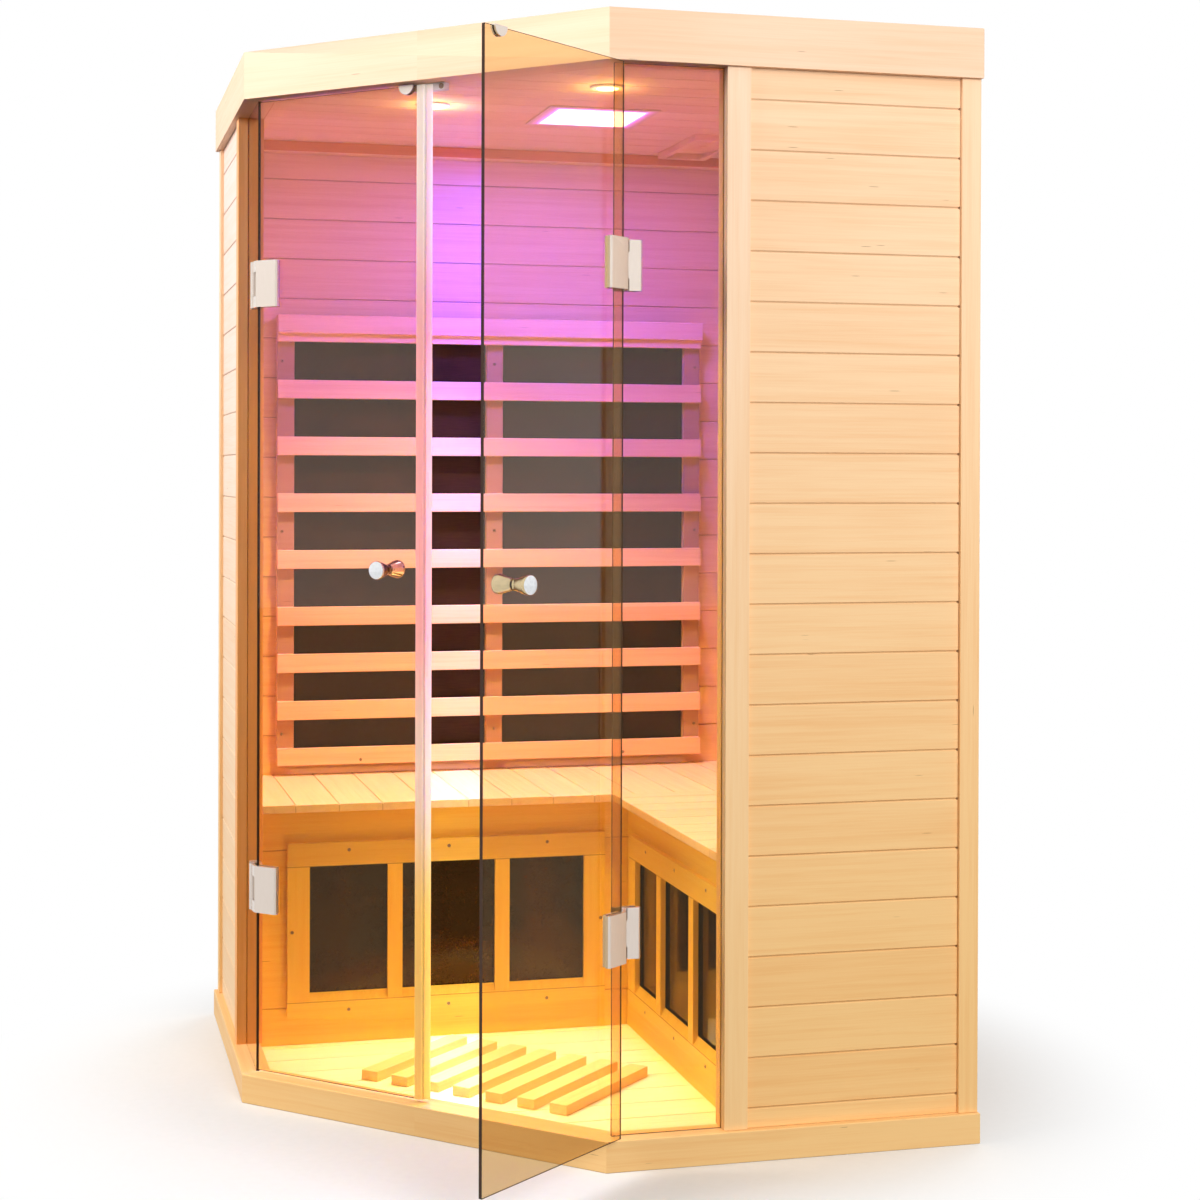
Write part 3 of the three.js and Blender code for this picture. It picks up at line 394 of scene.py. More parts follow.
def ordered(tree, place, axes):
    """The coordinates in another order: grain, then board count, then depth."""
    parts = add_node(tree, "ShaderNodeSeparateXYZ", {0: place}).outputs
    made = add_node(tree, "ShaderNodeCombineXYZ")
    for socket, axis in zip(made.inputs, axes):
        feed(tree, socket, parts[axis])
    return made.outputs[0]


def finish_wood(tree, shader, vector, **grain):
    # The height feeds the hemlock group's painted light by height.
    level = add_node(tree, "ShaderNodeSeparateXYZ", {0: object_place(tree)}).outputs["Z"]
    drawn = use_group(tree, HEMLOCK_GRAIN, Vector=vector, Level=level, **grain)
    feed(tree, shader.inputs["Base Color"], drawn["Color"])
    feed(tree, shader.inputs["Roughness"], drawn["Roughness"])
    add_bump(tree, shader, drawn["Height"], WOOD_BUMP, 0.5)


def hemlock(name, axes, width=None, first=None, piece=0.0, end=None, **colors):
    material, tree, shader = new_material(name, Specular_IOR_Level=0.35)
    grain = {"Piece": piece, **colors}
    if width:
        grain.update(Board_Width=width, First_Joint=first)
    if end:
        grain.update(Joint_End=end)
    finish_wood(tree, shader, ordered(tree, object_place(tree), axes), **grain)
    return material


def hemlock_ring(name, piece, outer, inner):
    """Ring of boards whose inner face, 6 cm behind the outer one, takes tones of its own, used as painted shade
    on the fascia.
    """
    material, tree, shader = new_material(name, Specular_IOR_Level=0.35)
    turned_round = use_group(tree, RING_GRAIN, Vector=object_place(tree))
    seed = calc(tree, "ADD", turned_round["Side"], piece)
    depth = add_node(tree, "ShaderNodeSeparateXYZ", {0: turned_round["Vector"]}).outputs["Z"]
    # Painted shade: the ring's inner face, recessed inside the cabin, takes the inner tones.
    inside = ramp(tree, depth, 0.056, 0.0595)
    pale, deep = (mix_color(tree, inside, tone(a), tone(b)) for a, b in zip(outer, inner))
    finish_wood(tree, shader, turned_round["Vector"], Piece=seed, Pale=pale, Deep=deep)
    return material


def hemlock_joined(name, level, upright, split_axis, low, high, piece, **colors):
    """Level members, and upright ones where the split axis lies between low and high, with seams between."""
    material, tree, shader = new_material(name, Specular_IOR_Level=0.35)
    place = object_place(tree)
    where = add_node(tree, "ShaderNodeSeparateXYZ", {0: place}).outputs[split_axis]
    above, below = calc(tree, "GREATER_THAN", where, low), calc(tree, "LESS_THAN", where, high)
    inside = calc(tree, "MULTIPLY", above, below)
    mixed = add_node(tree, "ShaderNodeMix", data_type="VECTOR")
    for socket, given in zip((mixed.inputs[0], mixed.inputs[4], mixed.inputs[5]),
                             (inside, ordered(tree, place, level), ordered(tree, place, upright))):
        feed(tree, socket, given)
    seed = calc(tree, "MULTIPLY_ADD", inside, 3.0, piece)
    gaps = [calc(tree, "ABSOLUTE", calc(tree, "SUBTRACT", where, place)) for place in (low, high)]
    seam = ramp(tree, calc(tree, "MINIMUM", *gaps), 0.0012, 0.0005, 0.0, 0.6)
    seamed = {key: mix_color(tree, seam, color, tone("#7d4c24")) for key, color in colors.items()}
    finish_wood(tree, shader, mixed.outputs[1], Piece=seed, **seamed)
    return material


def hemlock_slat(name):
    """Grain along the diagonal, for the floor slats: the pattern is turned by an eighth of a circle."""
    material, tree, shader = new_material(name, Specular_IOR_Level=0.35)
    turned_place = add_node(tree, "ShaderNodeMapping", {"Vector": object_place(tree)})
    turned_place.inputs["Rotation"].default_value = (0, 0, -math.pi / 4)
    finish_wood(tree, shader, turned_place.outputs[0], Board_Width=0.0665, First_Joint=0.03325)
    return material


def tones_with_painted_light(node):
    return dict(zip(("Pale", "Deep"), map(tone, TONES_WITH_PAINTED_LIGHT.get(node, ()))))


def dress(node, material):
    nodes[node].material_slots[0].material = material


WALL_JOINT, BACK_JOINT = 1.7630, 1.7607
BOARDED = {
    "right_side_wall": ("XZY", BOARD, WALL_JOINT, 1),
    "left_side_wall": ("YZX", BOARD, WALL_JOINT, 2),
    "left_back_wall": ("XZY", BOARD, BACK_JOINT, 3),
    "right_back_wall": ("YZX", BOARD, BACK_JOINT, 4),
    "floor_panel": ("XYZ", BOARD, 0.5027, 5),
    "ceiling_panel": ("XYZ", BOARD, 0.4983, 6),
    "left_bench_top": ("YXZ", BOARD, 0.5280, 7),
    "right_bench_top": ("XYZ", BOARD, 0.0960, 8),
    "left_bench_apron": ("XZY", 0.3054, 0.1053, 9),
    "right_bench_apron": ("YZX", 0.3054, 0.1053, 10),
}
PLAIN = {
    "left_glass_post": ("ZXY", 11), "right_glass_post": ("ZXY", 12),
    "left_corner_post": ("ZXY", 13), "right_corner_post": ("ZXY", 14),
    "vent_rails": ("YXZ", 15), "vent_slide": ("YXZ", 16),
}
# Pairs of tones. Some are painted light: golden aprons and calf frames for the warm light under the bench, a
# deeper left glass post for its shade, a paler left side wall and floor for the bright light on them.
TONES_WITH_PAINTED_LIGHT = {
    "left_side_wall": ("#ffe0c9", "#fbcfab"), "left_glass_post": ("#ffbb7a", "#f0a15c"),
    "right_glass_post": ("#ffdab2", "#f6c694"), "ceiling_panel": ("#ffdcb4", "#f6c594"),
    "floor_panel": ("#fff2e0", "#fde4c4"),
}
for side in ("left", "right"):
    TONES_WITH_PAINTED_LIGHT[f"{side}_back_wall"] = ("#f4c99e", "#e6b07e")
    TONES_WITH_PAINTED_LIGHT[f"{side}_bench_top"] = ("#ffe2c4", "#f6cca6")
    TONES_WITH_PAINTED_LIGHT[f"{side}_bench_apron"] = TONES_WITH_PAINTED_LIGHT[f"{side}_calf_frame"] = ("#ffdd76", "#f7c558")
    TONES_WITH_PAINTED_LIGHT[f"{side}_backrest"] = ("#ffcfae", "#f3b58e")
# Where each groove ends, for the painted shade of the gap there.
JOINT_ENDS = {
    "right_side_wall": 0.561, "left_side_wall": 0.561,
    "left_bench_top": 0.5780, "right_bench_top": 0.5780,
}
for node, (axes, width, first, piece) in BOARDED.items():
    dress(node, hemlock(f"hemlock_{node}", axes, width, first, piece, JOINT_ENDS.get(node), **tones_with_painted_light(node)))
for node, (axes, piece) in PLAIN.items():
    dress(node, hemlock(f"hemlock_{node}", axes, piece=piece, **tones_with_painted_light(node)))
dress("roof_cover", hemlock("roof_board", "XYZ", piece=17, Pale=tone("#e9c794"), Deep=tone("#d3a368")))
dress("base_frame", hemlock_ring("hemlock_base", 20, ("#ffd6a6", "#f5bd86"), ("#ffd6a6", "#f5bd86")))
# The fascia's inner face is deeper orange: painted shade on the recessed face inside the cabin.
dress("roof_frame", hemlock_ring("hemlock_fascia", 40, ("#ffd6ae", "#f7c292"), ("#e69a60", "#d88a50")))
for side, level, depth in (("left", "XZY", "Y"), ("right", "YZX", "X")):
    upright = "Z" + level[0] + depth
    for node, split in (("calf_frame", ("Z", 0.116, 0.379, 60)), ("backrest", (depth, 0.5556, 1.0, 70))):
        joined = hemlock_joined(f"hemlock_{side}_{node}", level, upright, *split, **tones_with_painted_light(f"{side}_{node}"))
        dress(f"{side}_{node}", joined)
slat_finish = hemlock_slat("hemlock_floor_slat")
for i in range(1, 8):
    dress(f"floor_slat_{i}", slat_finish)
print("hemlock pieces:", sum("hemlock" in o.material_slots[0].material.name for o in nodes.values()))

# %% [markdown]
# Planed boards never have knife edges. CAD keeps them sharp, so most wooden solids get two modifiers: Weld,
# because the solid arrives as loose triangles, and then a narrow Bevel that catches the light.

# %% Eased edges
def ease_edges(node, width, segments=2):
    weld = nodes[node].modifiers.new("weld", "WELD")
    weld.merge_threshold = 0.00002
    bevel = nodes[node].modifiers.new("eased", "BEVEL")
    bevel.width = width
    bevel.segments = segments
    bevel.limit_method = "ANGLE"
    bevel.angle_limit = math.radians(40)
    bevel.use_clamp_overlap = True


EASED = {
    0.0015: ["base_frame", "roof_frame", "left_backrest", "right_backrest",
             *[f"floor_slat_{i}" for i in range(1, 8)]],
    0.0008: ["left_glass_post", "right_glass_post", "left_corner_post", "right_corner_post",
             "left_side_wall", "right_side_wall", "left_bench_apron", "right_bench_apron",
             "led_bezel", "door_catch"],
    0.0010: ["left_calf_frame", "right_calf_frame", "vent_rails", "vent_slide",
             "left_bench_top", "right_bench_top"],
}
for width, names in EASED.items():
    for node in names:
        ease_edges(node, width)
print("eased solids:", sum(len(names) for names in EASED.values()))

# %% [markdown]
# ## Bronze glass
# The panes are toughened glass with a bronze tint. A Principled BSDF with full transmission bends and
# colours the light. The ground edges let hardly any light out, so they are a dark matt brown, found by
# comparing the surface's direction with the pane's. For shadow rays the glass is simply a tinted filter, so
# the lamps reach the inside. The wiping marks stay very faint, since rough glass would also take in the
# white floor.

# %% Bronze glass
PANE_TINT = (0.87, 0.67, 0.37, 1.0)
EDGE_TINT, EDGE_LIGHT = (0.050, 0.030, 0.024, 1.0), (0.085, 0.055, 0.042, 1.0)
PANE_FILTER = (0.52, 0.48, 0.40, 1.0)


def bronze_glass(name, facing, depth):
    material, tree, shader = new_material(name, Transmission_Weight=1.0, IOR=1.45)
    place = add_node(tree, "ShaderNodeTexCoord").outputs
    turned_to = add_node(tree, "ShaderNodeVectorMath", {0: place["Normal"], 1: facing}, operation="DOT_PRODUCT")
    edge = calc(tree, "LESS_THAN", calc(tree, "ABSOLUTE", turned_to.outputs["Value"]), 0.7)
    cloud = noise(tree, place["Object"], (2, 2, 2.5))
    # The depth factor darkens the whole tint; in the table of panes the right side pane uses it as painted
    # shade.
    tint, deeper = ([share * part for share in PANE_TINT[:3]] + [1.0] for part in (depth, depth * 0.97))
    feed(tree, shader.inputs["Base Color"], mix_color(tree, cloud, tint, deeper))
    wiped = noise(tree, place["Object"], (9, 9, 5), detail=3.0)
    feed(tree, shader.inputs["Roughness"], ramp(tree, wiped, 0.5, 0.8, 0.0, 0.003))
    ground = add_node(tree, "ShaderNodeBsdfDiffuse", {"Color": mix_color(tree, wiped, EDGE_TINT, EDGE_LIGHT)})
    pane = add_node(tree, "ShaderNodeMixShader", {0: edge, 1: shader.outputs[0], 2: ground.outputs[0]})
    clear = add_node(tree, "ShaderNodeBsdfTransparent", {"Color": PANE_FILTER})
    shadow = add_node(tree, "ShaderNodeLightPath").outputs["Is Shadow Ray"]
    mixed = add_node(tree, "ShaderNodeMixShader", {0: shadow, 1: pane.outputs[0], 2: clear.outputs[0]})
    tree.links.new(mixed.outputs[0], tree.nodes["Material Output"].inputs["Surface"])
    return material


RIGHT_OPENING = math.radians(85)
SHUT_FACING = Vector((ROOT_HALF, ROOT_HALF, 0))
OPEN_FACING = Matrix.Rotation(RIGHT_OPENING, 3, "Z") @ SHUT_FACING
# The last number scales the tint. The right side pane's 0.86 is painted shade, a darker tint for the dimmer
# walls seen through it. The open door's pane is a little darker too.
PANES = {
    "left_side_glass": (Vector((1, 0, 0)), 1.0),
    "right_side_glass": (Vector((0, 1, 0)), 0.86),
    "left_door_glass": (SHUT_FACING, 1.0),
    "right_door_glass": (OPEN_FACING, 0.97),
}
for node, (facing, depth) in PANES.items():
    dress(node, bronze_glass(f"bronze_{node}", facing, depth))
print("panes:", len(PANES))

# %% [markdown]
# ## Metals and plastics
# The hinges and strikes are satin nickel: fine brush lines along the height of the piece make the
# gloss run across them. The plastic parts have a fine moulded texture. One group of fine unevenness serves
# them all. The knobs are chrome with faint smudges. Chrome mirrors the room, bright ahead and brown to the
# sides, and the white studio has no such room, so a Layer Weight paints a brown reflection onto the faces that
# are turned well away.

# %% Surface unevenness group
def uneven_group():
    group, given, out = new_group("uneven", [
        ("Vector", "Vector", None), ("Stretch", "Vector", (1, 1, 1)),
        ("Smooth", "Float", 0.2), ("Rough", "Float", 0.4), ("Patches", "Float", 0.5),
        ("Light", "Color", (1, 1, 1, 1)), ("Dark", "Color", (0, 0, 0, 1)),
    ], [("Color", "Color"), ("Roughness", "Float"), ("Height", "Float")])
    fine = noise(group, given["Vector"], given["Stretch"], detail=3.0, roughness=0.6)
    broad = noise(group, given["Vector"], (14, 14, 14), detail=2.0)
    blend = add_node(group, "ShaderNodeMix", {0: given["Patches"], 2: fine, 3: broad}).outputs[0]
    span = calc(group, "SUBTRACT", given["Rough"], given["Smooth"])
    share = ramp(group, blend, 0.3, 0.7)
    feed(group, out["Color"], mix_color(group, share, given["Light"], given["Dark"]))
    feed(group, out["Roughness"], calc(group, "MULTIPLY_ADD", share, span, given["Smooth"]))
    feed(group, out["Height"], fine)
    return group


UNEVEN = uneven_group()


def surface_finish(name, light, dark, stretch, smooth, rough, bump, patches=0.5, **constants):
    """Finish whose colour, gloss and relief vary finely over the surface."""
    material, tree, shader = new_material(name, **constants)
    drawn = use_group(tree, UNEVEN, Vector=object_place(tree), Stretch=stretch, Smooth=smooth, Rough=rough,
                      Patches=patches, Light=tone(light), Dark=tone(dark))
    feed(tree, shader.inputs["Base Color"], drawn["Color"])
    feed(tree, shader.inputs["Roughness"], drawn["Roughness"])
    add_bump(tree, shader, drawn["Height"], bump)
    return material


SATIN_NICKEL = surface_finish("satin_nickel", "#e9dcd1", "#e2d4c8", (2200, 2200, 40), 0.20, 0.26, 0.000001, 0.1,
                              Metallic=0.65)


def chrome_finish():
    material, tree, shader = new_material("chrome", Metallic=1.0)
    drawn = use_group(tree, UNEVEN, Vector=object_place(tree), Stretch=(120, 120, 120), Smooth=0.04, Rough=0.12,
                      Light=tone("#eef0f2"), Dark=tone("#dcdfe3"))
    facing = add_node(tree, "ShaderNodeLayerWeight", {"Blend": 0.5}).outputs["Facing"]
    # Painted reflection: a brown band of a room that the studio does not have.
    painted_room_reflection = calc(tree, "MULTIPLY", ramp(tree, facing, 0.40, 0.58, 0.0, 0.85), ramp(tree, facing, 0.90, 0.74))
    feed(tree, shader.inputs["Base Color"], mix_color(tree, painted_room_reflection, drawn["Color"], tone("#5a3a2e")))
    feed(tree, shader.inputs["Roughness"], drawn["Roughness"])
    return material


CHROME = chrome_finish()
SCREW_STEEL = surface_finish("screw_steel", "#b9a58e", "#8f7b64", (900, 900, 900), 0.30, 0.50, 0.00002,
                             Metallic=1.0)
WHITE_PLASTIC = surface_finish("white_plastic", "#f1eff2", "#e6e4e8", (700, 700, 700), 0.38, 0.50, 0.00003)
BLACK_PLASTIC = surface_finish("black_plastic", "#2a2a2b", "#1c1c1d", (700, 700, 700), 0.40, 0.55, 0.00004)
GREY_PLASTIC = surface_finish("grey_plastic", "#9b9da0", "#85878a", (700, 700, 700), 0.40, 0.55, 0.00004)
for side in ("left", "right"):
    for height in ("lower", "upper"):
        for leaf in ("hinge_leaf", "door_leaf"):
            dress(f"{side}_{height}_{leaf}", SATIN_NICKEL)
            ease_edges(f"{side}_{height}_{leaf}", 0.0009, 3)
    dress(f"{side}_strike", SATIN_NICKEL)
PLASTICS = {"door_catch": WHITE_PLASTIC, "control_box": GREY_PLASTIC, "cable_gland": BLACK_PLASTIC}
for node, finish in PLASTICS.items():
    dress(node, finish)
print("metal and plastic finishes: 6")

# %% [markdown]
# ## Heaters
# The back heaters are carbon panels with a matt skin: a fine fibre shows along their length. The calf
# heaters are dark and glossy, so the floor mirrors in them. Both are nearly black, and only the gloss tells
# them apart.

# %% Heaters
BACK_PANEL = surface_finish("carbon_panel", "#3c2414", "#2d190d", (40, 900, 900), 0.45, 0.60, 0.00005,
                            Specular_IOR_Level=0.25)
CALF_PANEL = surface_finish("calf_panel", "#241208", "#1b0d06", (300, 300, 300), 0.05, 0.12, 0.000005,
                            Specular_IOR_Level=0.40, Specular_Tint=(1.0, 0.66, 0.32, 1.0))
for side in ("left", "right"):
    dress(f"{side}_back_heater", BACK_PANEL)
    dress(f"{side}_calf_heater", CALF_PANEL)
print("heaters: 4")

# %% [markdown]
# ## Seal strip
# The left door's meeting edge carries a strip of soft clear plastic, milky where it grips the glass. It
# pipes the light of the cabin: golden by the floor, pale at the bench, rosy before the backrest and white
# under the spots. Most of the shader is therefore translucent, which shows the light that falls on the far
# side. Those colours are also painted in by height, as painted light in the base colour and in a weak
# emission that stands for the light that travels inside the strip.

# %% Seal strip
def seal_finish():
    # The emission makes the strip glow with painted light.
    material, tree, shader = new_material("clear_strip", Transmission_Weight=0.3, IOR=1.3, Emission_Strength=0.5)
    level = add_node(tree, "ShaderNodeSeparateXYZ", {0: object_place(tree)}).outputs["Z"]
    # Painted light by height: golden low down, pale at the bench, rosy before the backrest, white under the
    # spots.
    painted_strip_light = tone("#ffeca0")
    for low, high, code in ((0.35, 0.60, "#fff4ea"), (0.65, 0.90, "#ffdcdc"), (1.35, 1.65, "#fffdf8")):
        painted_strip_light = mix_color(tree, ramp(tree, level, low, high), painted_strip_light, tone(code))
    cloud = noise(tree, object_place(tree), (60, 60, 6), detail=2.0)
    milky = mix_color(tree, 1.0, painted_strip_light, mix_color(tree, cloud, (1, 1, 1, 1), tone("#f6f1f0")), "MULTIPLY")
    feed(tree, shader.inputs["Base Color"], milky)
    feed(tree, shader.inputs["Emission Color"], milky)
    feed(tree, shader.inputs["Roughness"], ramp(tree, cloud, 0.3, 0.7, 0.24, 0.36))
    lit_through = add_node(tree, "ShaderNodeBsdfTranslucent", {"Color": milky})
    mixed = add_node(tree, "ShaderNodeMixShader", {0: 0.72, 1: shader.outputs[0], 2: lit_through.outputs[0]})
    tree.links.new(mixed.outputs[0], tree.nodes["Material Output"].inputs["Surface"])
    return material


dress("left_door_seal", seal_finish())
print("seal strip dressed")

# %% [markdown]
# ## Lights
# The square panel in the ceiling glows a whitish violet, and stronger in the middle than at its rim. Its
# light on the wall behind is magenta. Two small spots by the doors give a warm light that falls on the floor
# and the bench. The glowing faces are emission in the materials, and lamps of the same colours do the
# lighting, because lamps give a cleaner picture than small glowing faces do. The bezel round the panel gets a
# painted violet glow, an emission for the panel's light falling on it. Light linking keeps the lamps off the
# studio floor.

# %% Light panel
PANEL_MIDDLE = (0.084, 0.084)
PANEL_HALF = 0.09


def panel_distance(tree):
    """0 in the middle of the panel and 1 on its rim."""
    parts = add_node(tree, "ShaderNodeSeparateXYZ", {0: object_place(tree)}).outputs
    across = [calc(tree, "ABSOLUTE", calc(tree, "SUBTRACT", parts[axis], middle))
              for axis, middle in zip("XY", PANEL_MIDDLE)]
    return calc(tree, "DIVIDE", calc(tree, "MAXIMUM", *across), PANEL_HALF)


def panel_face():
    material, tree, shader = new_material("lamp_face", Emission_Strength=4.0, Roughness=0.4)
    rim = panel_distance(tree)
    glow = mix_color(tree, ramp(tree, rim, 0.90, 1.0), tone("#fffbff"), tone("#9a58ff"))
    feed(tree, shader.inputs["Emission Color"], glow)
    feed(tree, shader.inputs["Base Color"], mix_color(tree, rim, tone("#f4ecff"), tone("#e6d8fb")))
    return material


def bezel_with_painted_glow():
    """White plastic with a painted violet glow: emission by the panel's edge stands for the panel's light
    falling on it.
    """
    material, tree, shader = new_material("bezel_with_painted_glow", Emission_Strength=2.0, Roughness=0.45)
    rim = panel_distance(tree)
    # Painted glow: violet emission by the panel's edge, fading to nothing at the bezel's rim.
    glow = mix_color(tree, ramp(tree, rim, 0.98, 1.2), tone("#8f4dff"), tone("#1a0a0a"))
    feed(tree, shader.inputs["Emission Color"], glow)
    grain = noise(tree, object_place(tree), (700, 700, 700))
    feed(tree, shader.inputs["Base Color"], mix_color(tree, grain, tone("#f2d6c2"), tone("#e8cab4")))
    return material


def inside_lamp(name, kind, place, aim, energy, color, lit=None, **settings):
    """Lamp inside the cabin: it shows in no mirror or pane and leaves the studio floor alone."""
    lamp = add_lamp(name, kind, place, aim, energy, color, **settings)
    lamp.visible_glossy = lamp.visible_transmission = False
    lamp.light_linking.receiver_collection = lit or NOT_LIT_INSIDE


NOT_LIT_INSIDE = bpy.data.collections.new("not_lit_by_inside_lamps")
NOT_LIT_INSIDE.objects.link(floor)
NOT_LIT_INSIDE.collection_objects[0].light_linking.link_state = "EXCLUDE"
dress("led_diffuser", panel_face())
dress("led_bezel", bezel_with_painted_glow())
under_panel = (*PANEL_MIDDLE, 0)
inside_lamp("panel_light", "AREA", (*PANEL_MIDDLE, 1.8315), under_panel, 35.0, (0.065, 0.033, 1.0), size=0.18)
inside_lamp("panel_halo", "POINT", (*PANEL_MIDDLE, 1.79), under_panel, 0.9, (0.4, 0.1, 1.0),
            shadow_soft_size=0.03)
print("light panel at", PANEL_MIDDLE)

# %% [markdown]
# Turned pieces, such as the spots' rims, the knobs and the cable gland, are drawn as half a section and spun
# round an axis. Spin could do that, but it leaves seams to close. Here each ring of points is made directly
# and the ends close in a single point, so the skin is watertight from the start. Each spot has a lamp that
# shines down and a small halo for the ceiling beside it. What the two throw on the floor is strengthened by a
# glow that is linked to the floor and its slats alone.

# %% Turned pieces
ROUND = 48


def add_piece(name, mesh, material, body, replaces=()):
    mesh.materials.clear()
    mesh.materials.append(material)
    piece = bpy.data.objects.new(name, mesh)
    scene.collection.objects.link(piece)
    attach(piece, body)
    if replaces:
        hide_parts(*replaces)
    return piece


def shade_by_angle(shape, limit=35):
    for face in shape.faces:
        face.smooth = True
    for edge in shape.edges:
        edge.smooth = len(edge.link_faces) == 2 and edge.calc_face_angle(0) < math.radians(limit)


def turned_shape(shape, profile, place):
    """Spin (radius, height) points about Z and set the result in place. The section runs from the axis
    back to the axis, or, for a ring, it closes on itself."""
    rings = []
    for radius, height in profile:
        count = ROUND if radius > 0 else 1
        angles = [2 * math.pi * i / count for i in range(count)]
        rings.append([shape.verts.new(place @ Vector((radius * math.cos(a), radius * math.sin(a), height)))
                      for a in angles])
    pairs = list(zip(rings, rings[1:])) + ([(rings[-1], rings[0])] if profile[0][0] else [])
    for below, above in pairs:
        for i in range(ROUND):
            lower = [below[k % len(below)] for k in (i, i + 1)]
            upper = [above[k % len(above)] for k in (i + 1, i)]
            shape.faces.new(list(dict.fromkeys(lower + upper)))


def finished_mesh(name, shape):
    bmesh.ops.remove_doubles(shape, verts=shape.verts, dist=1e-6)
    bmesh.ops.recalc_face_normals(shape, faces=shape.faces)
    shade_by_angle(shape)
    mesh = bpy.data.meshes.new(name)
    shape.to_mesh(mesh)
    shape.free()
    return mesh


SPOT_RIM = [(0, 1.8325), (0.0205, 1.8325), (0.0222, 1.8318), (0.0262, 1.8318), (0.0300, 1.8326),
            (0.0318, 1.8340), (0.0320, 1.8357), (0.0250, 1.8359), (0.0250, 1.8680), (0.0235, 1.8712),
            (0, 1.8712)]
SPOT_LENS = [(0, 1.8322), (0.0120, 1.8321), (0.0200, 1.8324), (0.0200, 1.8326), (0, 1.8326)]
SPOT_PLACES = {"left": (-0.2380, 0.0292), "right": (0.0292, -0.2380)}


def lens_face():
    material, tree, shader = new_material("spot_lens", Emission_Strength=12.0, Roughness=0.3)
    glow = noise(tree, object_place(tree), (260, 260, 260))
    feed(tree, shader.inputs["Emission Color"], mix_color(tree, glow, tone("#fffaf0"), tone("#fff1d2")))
    feed(tree, shader.inputs["Base Color"], mix_color(tree, glow, tone("#fff8ea"), tone("#fff0d2")))
    return material


lens_finish = lens_face()
for side, (x, y) in SPOT_PLACES.items():
    place = Matrix.Translation((x, y, 0))
    rim, lens = bmesh.new(), bmesh.new()
    turned_shape(rim, SPOT_RIM, place)
    turned_shape(lens, SPOT_LENS, place)
    add_piece(f"{side}_spot_rim", finished_mesh("rim", rim), WHITE_PLASTIC, "cabin",
              [f"{side}_spot_light"])
    add_piece(f"{side}_spot_lens", finished_mesh("lens", lens), lens_finish, "cabin")
    inside_lamp(f"{side}_spot", "SPOT", (x, y, 1.826), (x + 0.15, y + 0.15, 0), 70.0, (1.0, 1.0, 0.36),
                spot_size=math.radians(90), spot_blend=0.8, shadow_soft_size=0.02)
    inside_lamp(f"{side}_halo", "POINT", (x, y, 1.805), (x, y, 0), 0.45, (1.0, 0.75, 0.4),
                shadow_soft_size=0.02)
floor_only = bpy.data.collections.new("lit_by_floor_glow")
for node in ["floor_panel", *[f"floor_slat_{i}" for i in range(1, 8)]]:
    floor_only.objects.link(nodes[node])
inside_lamp("floor_glow", "AREA", (-0.14, -0.14, 0.47), (-0.13, -0.13, 0), 5.2, (0.9, 1.0, 0.76), floor_only,
            size=0.45)
print("spots:", len(SPOT_PLACES))

# %% [markdown]
# ## Knobs
# Each door has two cones, narrow ends to the glass, joined by a stud. The CAD solid has few facets, which
# chrome would show, so a smoother pair with eased rims replaces it on each door.

# %% Knobs
FRONT = Vector((-0.33, -0.33, 0))
ALONG, INTO = Vector((ROOT_HALF, -ROOT_HALF, 0)), Vector((ROOT_HALF, ROOT_HALF, 0))
HINGE_PIN = Vector((-0.0265, -0.579, 0))
SWUNG = Matrix.Translation(HINGE_PIN) @ Matrix.Rotation(RIGHT_OPENING, 4, "Z") @ Matrix.Translation(-HINGE_PIN)
KNOB_ALONG, KNOB_HEIGHT = 0.0795, 0.972
GLASS_OUTER, GLASS_INNER = 0.0237, 0.0303
KNOB = [(0, 0), (0.0092, 0), (0.0095, 0.0004), (0.0095, 0.0034), (0.0101, 0.0046), (0.0128, 0.0142),
        (0.0152, 0.0228), (0.0158, 0.0252), (0.0160, 0.0272), (0.0160, 0.0290), (0.0157, 0.0304),
        (0.0150, 0.0314), (0.0141, 0.0319), (0.0128, 0.0320), (0.0085, 0.0323), (0, 0.0325)]


def front_place(along, into, height, outward):
    """Matrix whose Z axis points out of (or into) the cabin from a spot on the shut front."""
    axis = -INTO if outward else INTO
    turned_to = Matrix((ALONG, axis.cross(ALONG), axis)).transposed().to_4x4()
    return Matrix.Translation(FRONT + ALONG * along + INTO * into + Vector((0, 0, height))) @ turned_to


for side, sign, swing in (("left", -1, Matrix()), ("right", 1, SWUNG)):
    for name, into, outward in (("outer_knob", GLASS_OUTER, True), ("inner_knob", GLASS_INNER, False)):
        shape = bmesh.new()
        turned_shape(shape, KNOB, swing @ front_place(sign * KNOB_ALONG, into, KNOB_HEIGHT, outward))
        knob = add_piece(f"{side}_turned_{name}", finished_mesh(name, shape), CHROME, f"{side}_door",
                         [f"{side}_{name}"])
print("knobs: 4, last one at", [round(v, 3) for v in knob.data.vertices[0].co])

# %% [markdown]
# The catch over the doors is a plastic block with a steel disc at each end, which the strikes
# snap to. Where the supply cable goes in, the roof has a gland: a ring with a flange
# and a rounded collar. Both are turned as well, and the gland's section closes on itself, so it keeps its
# bore.

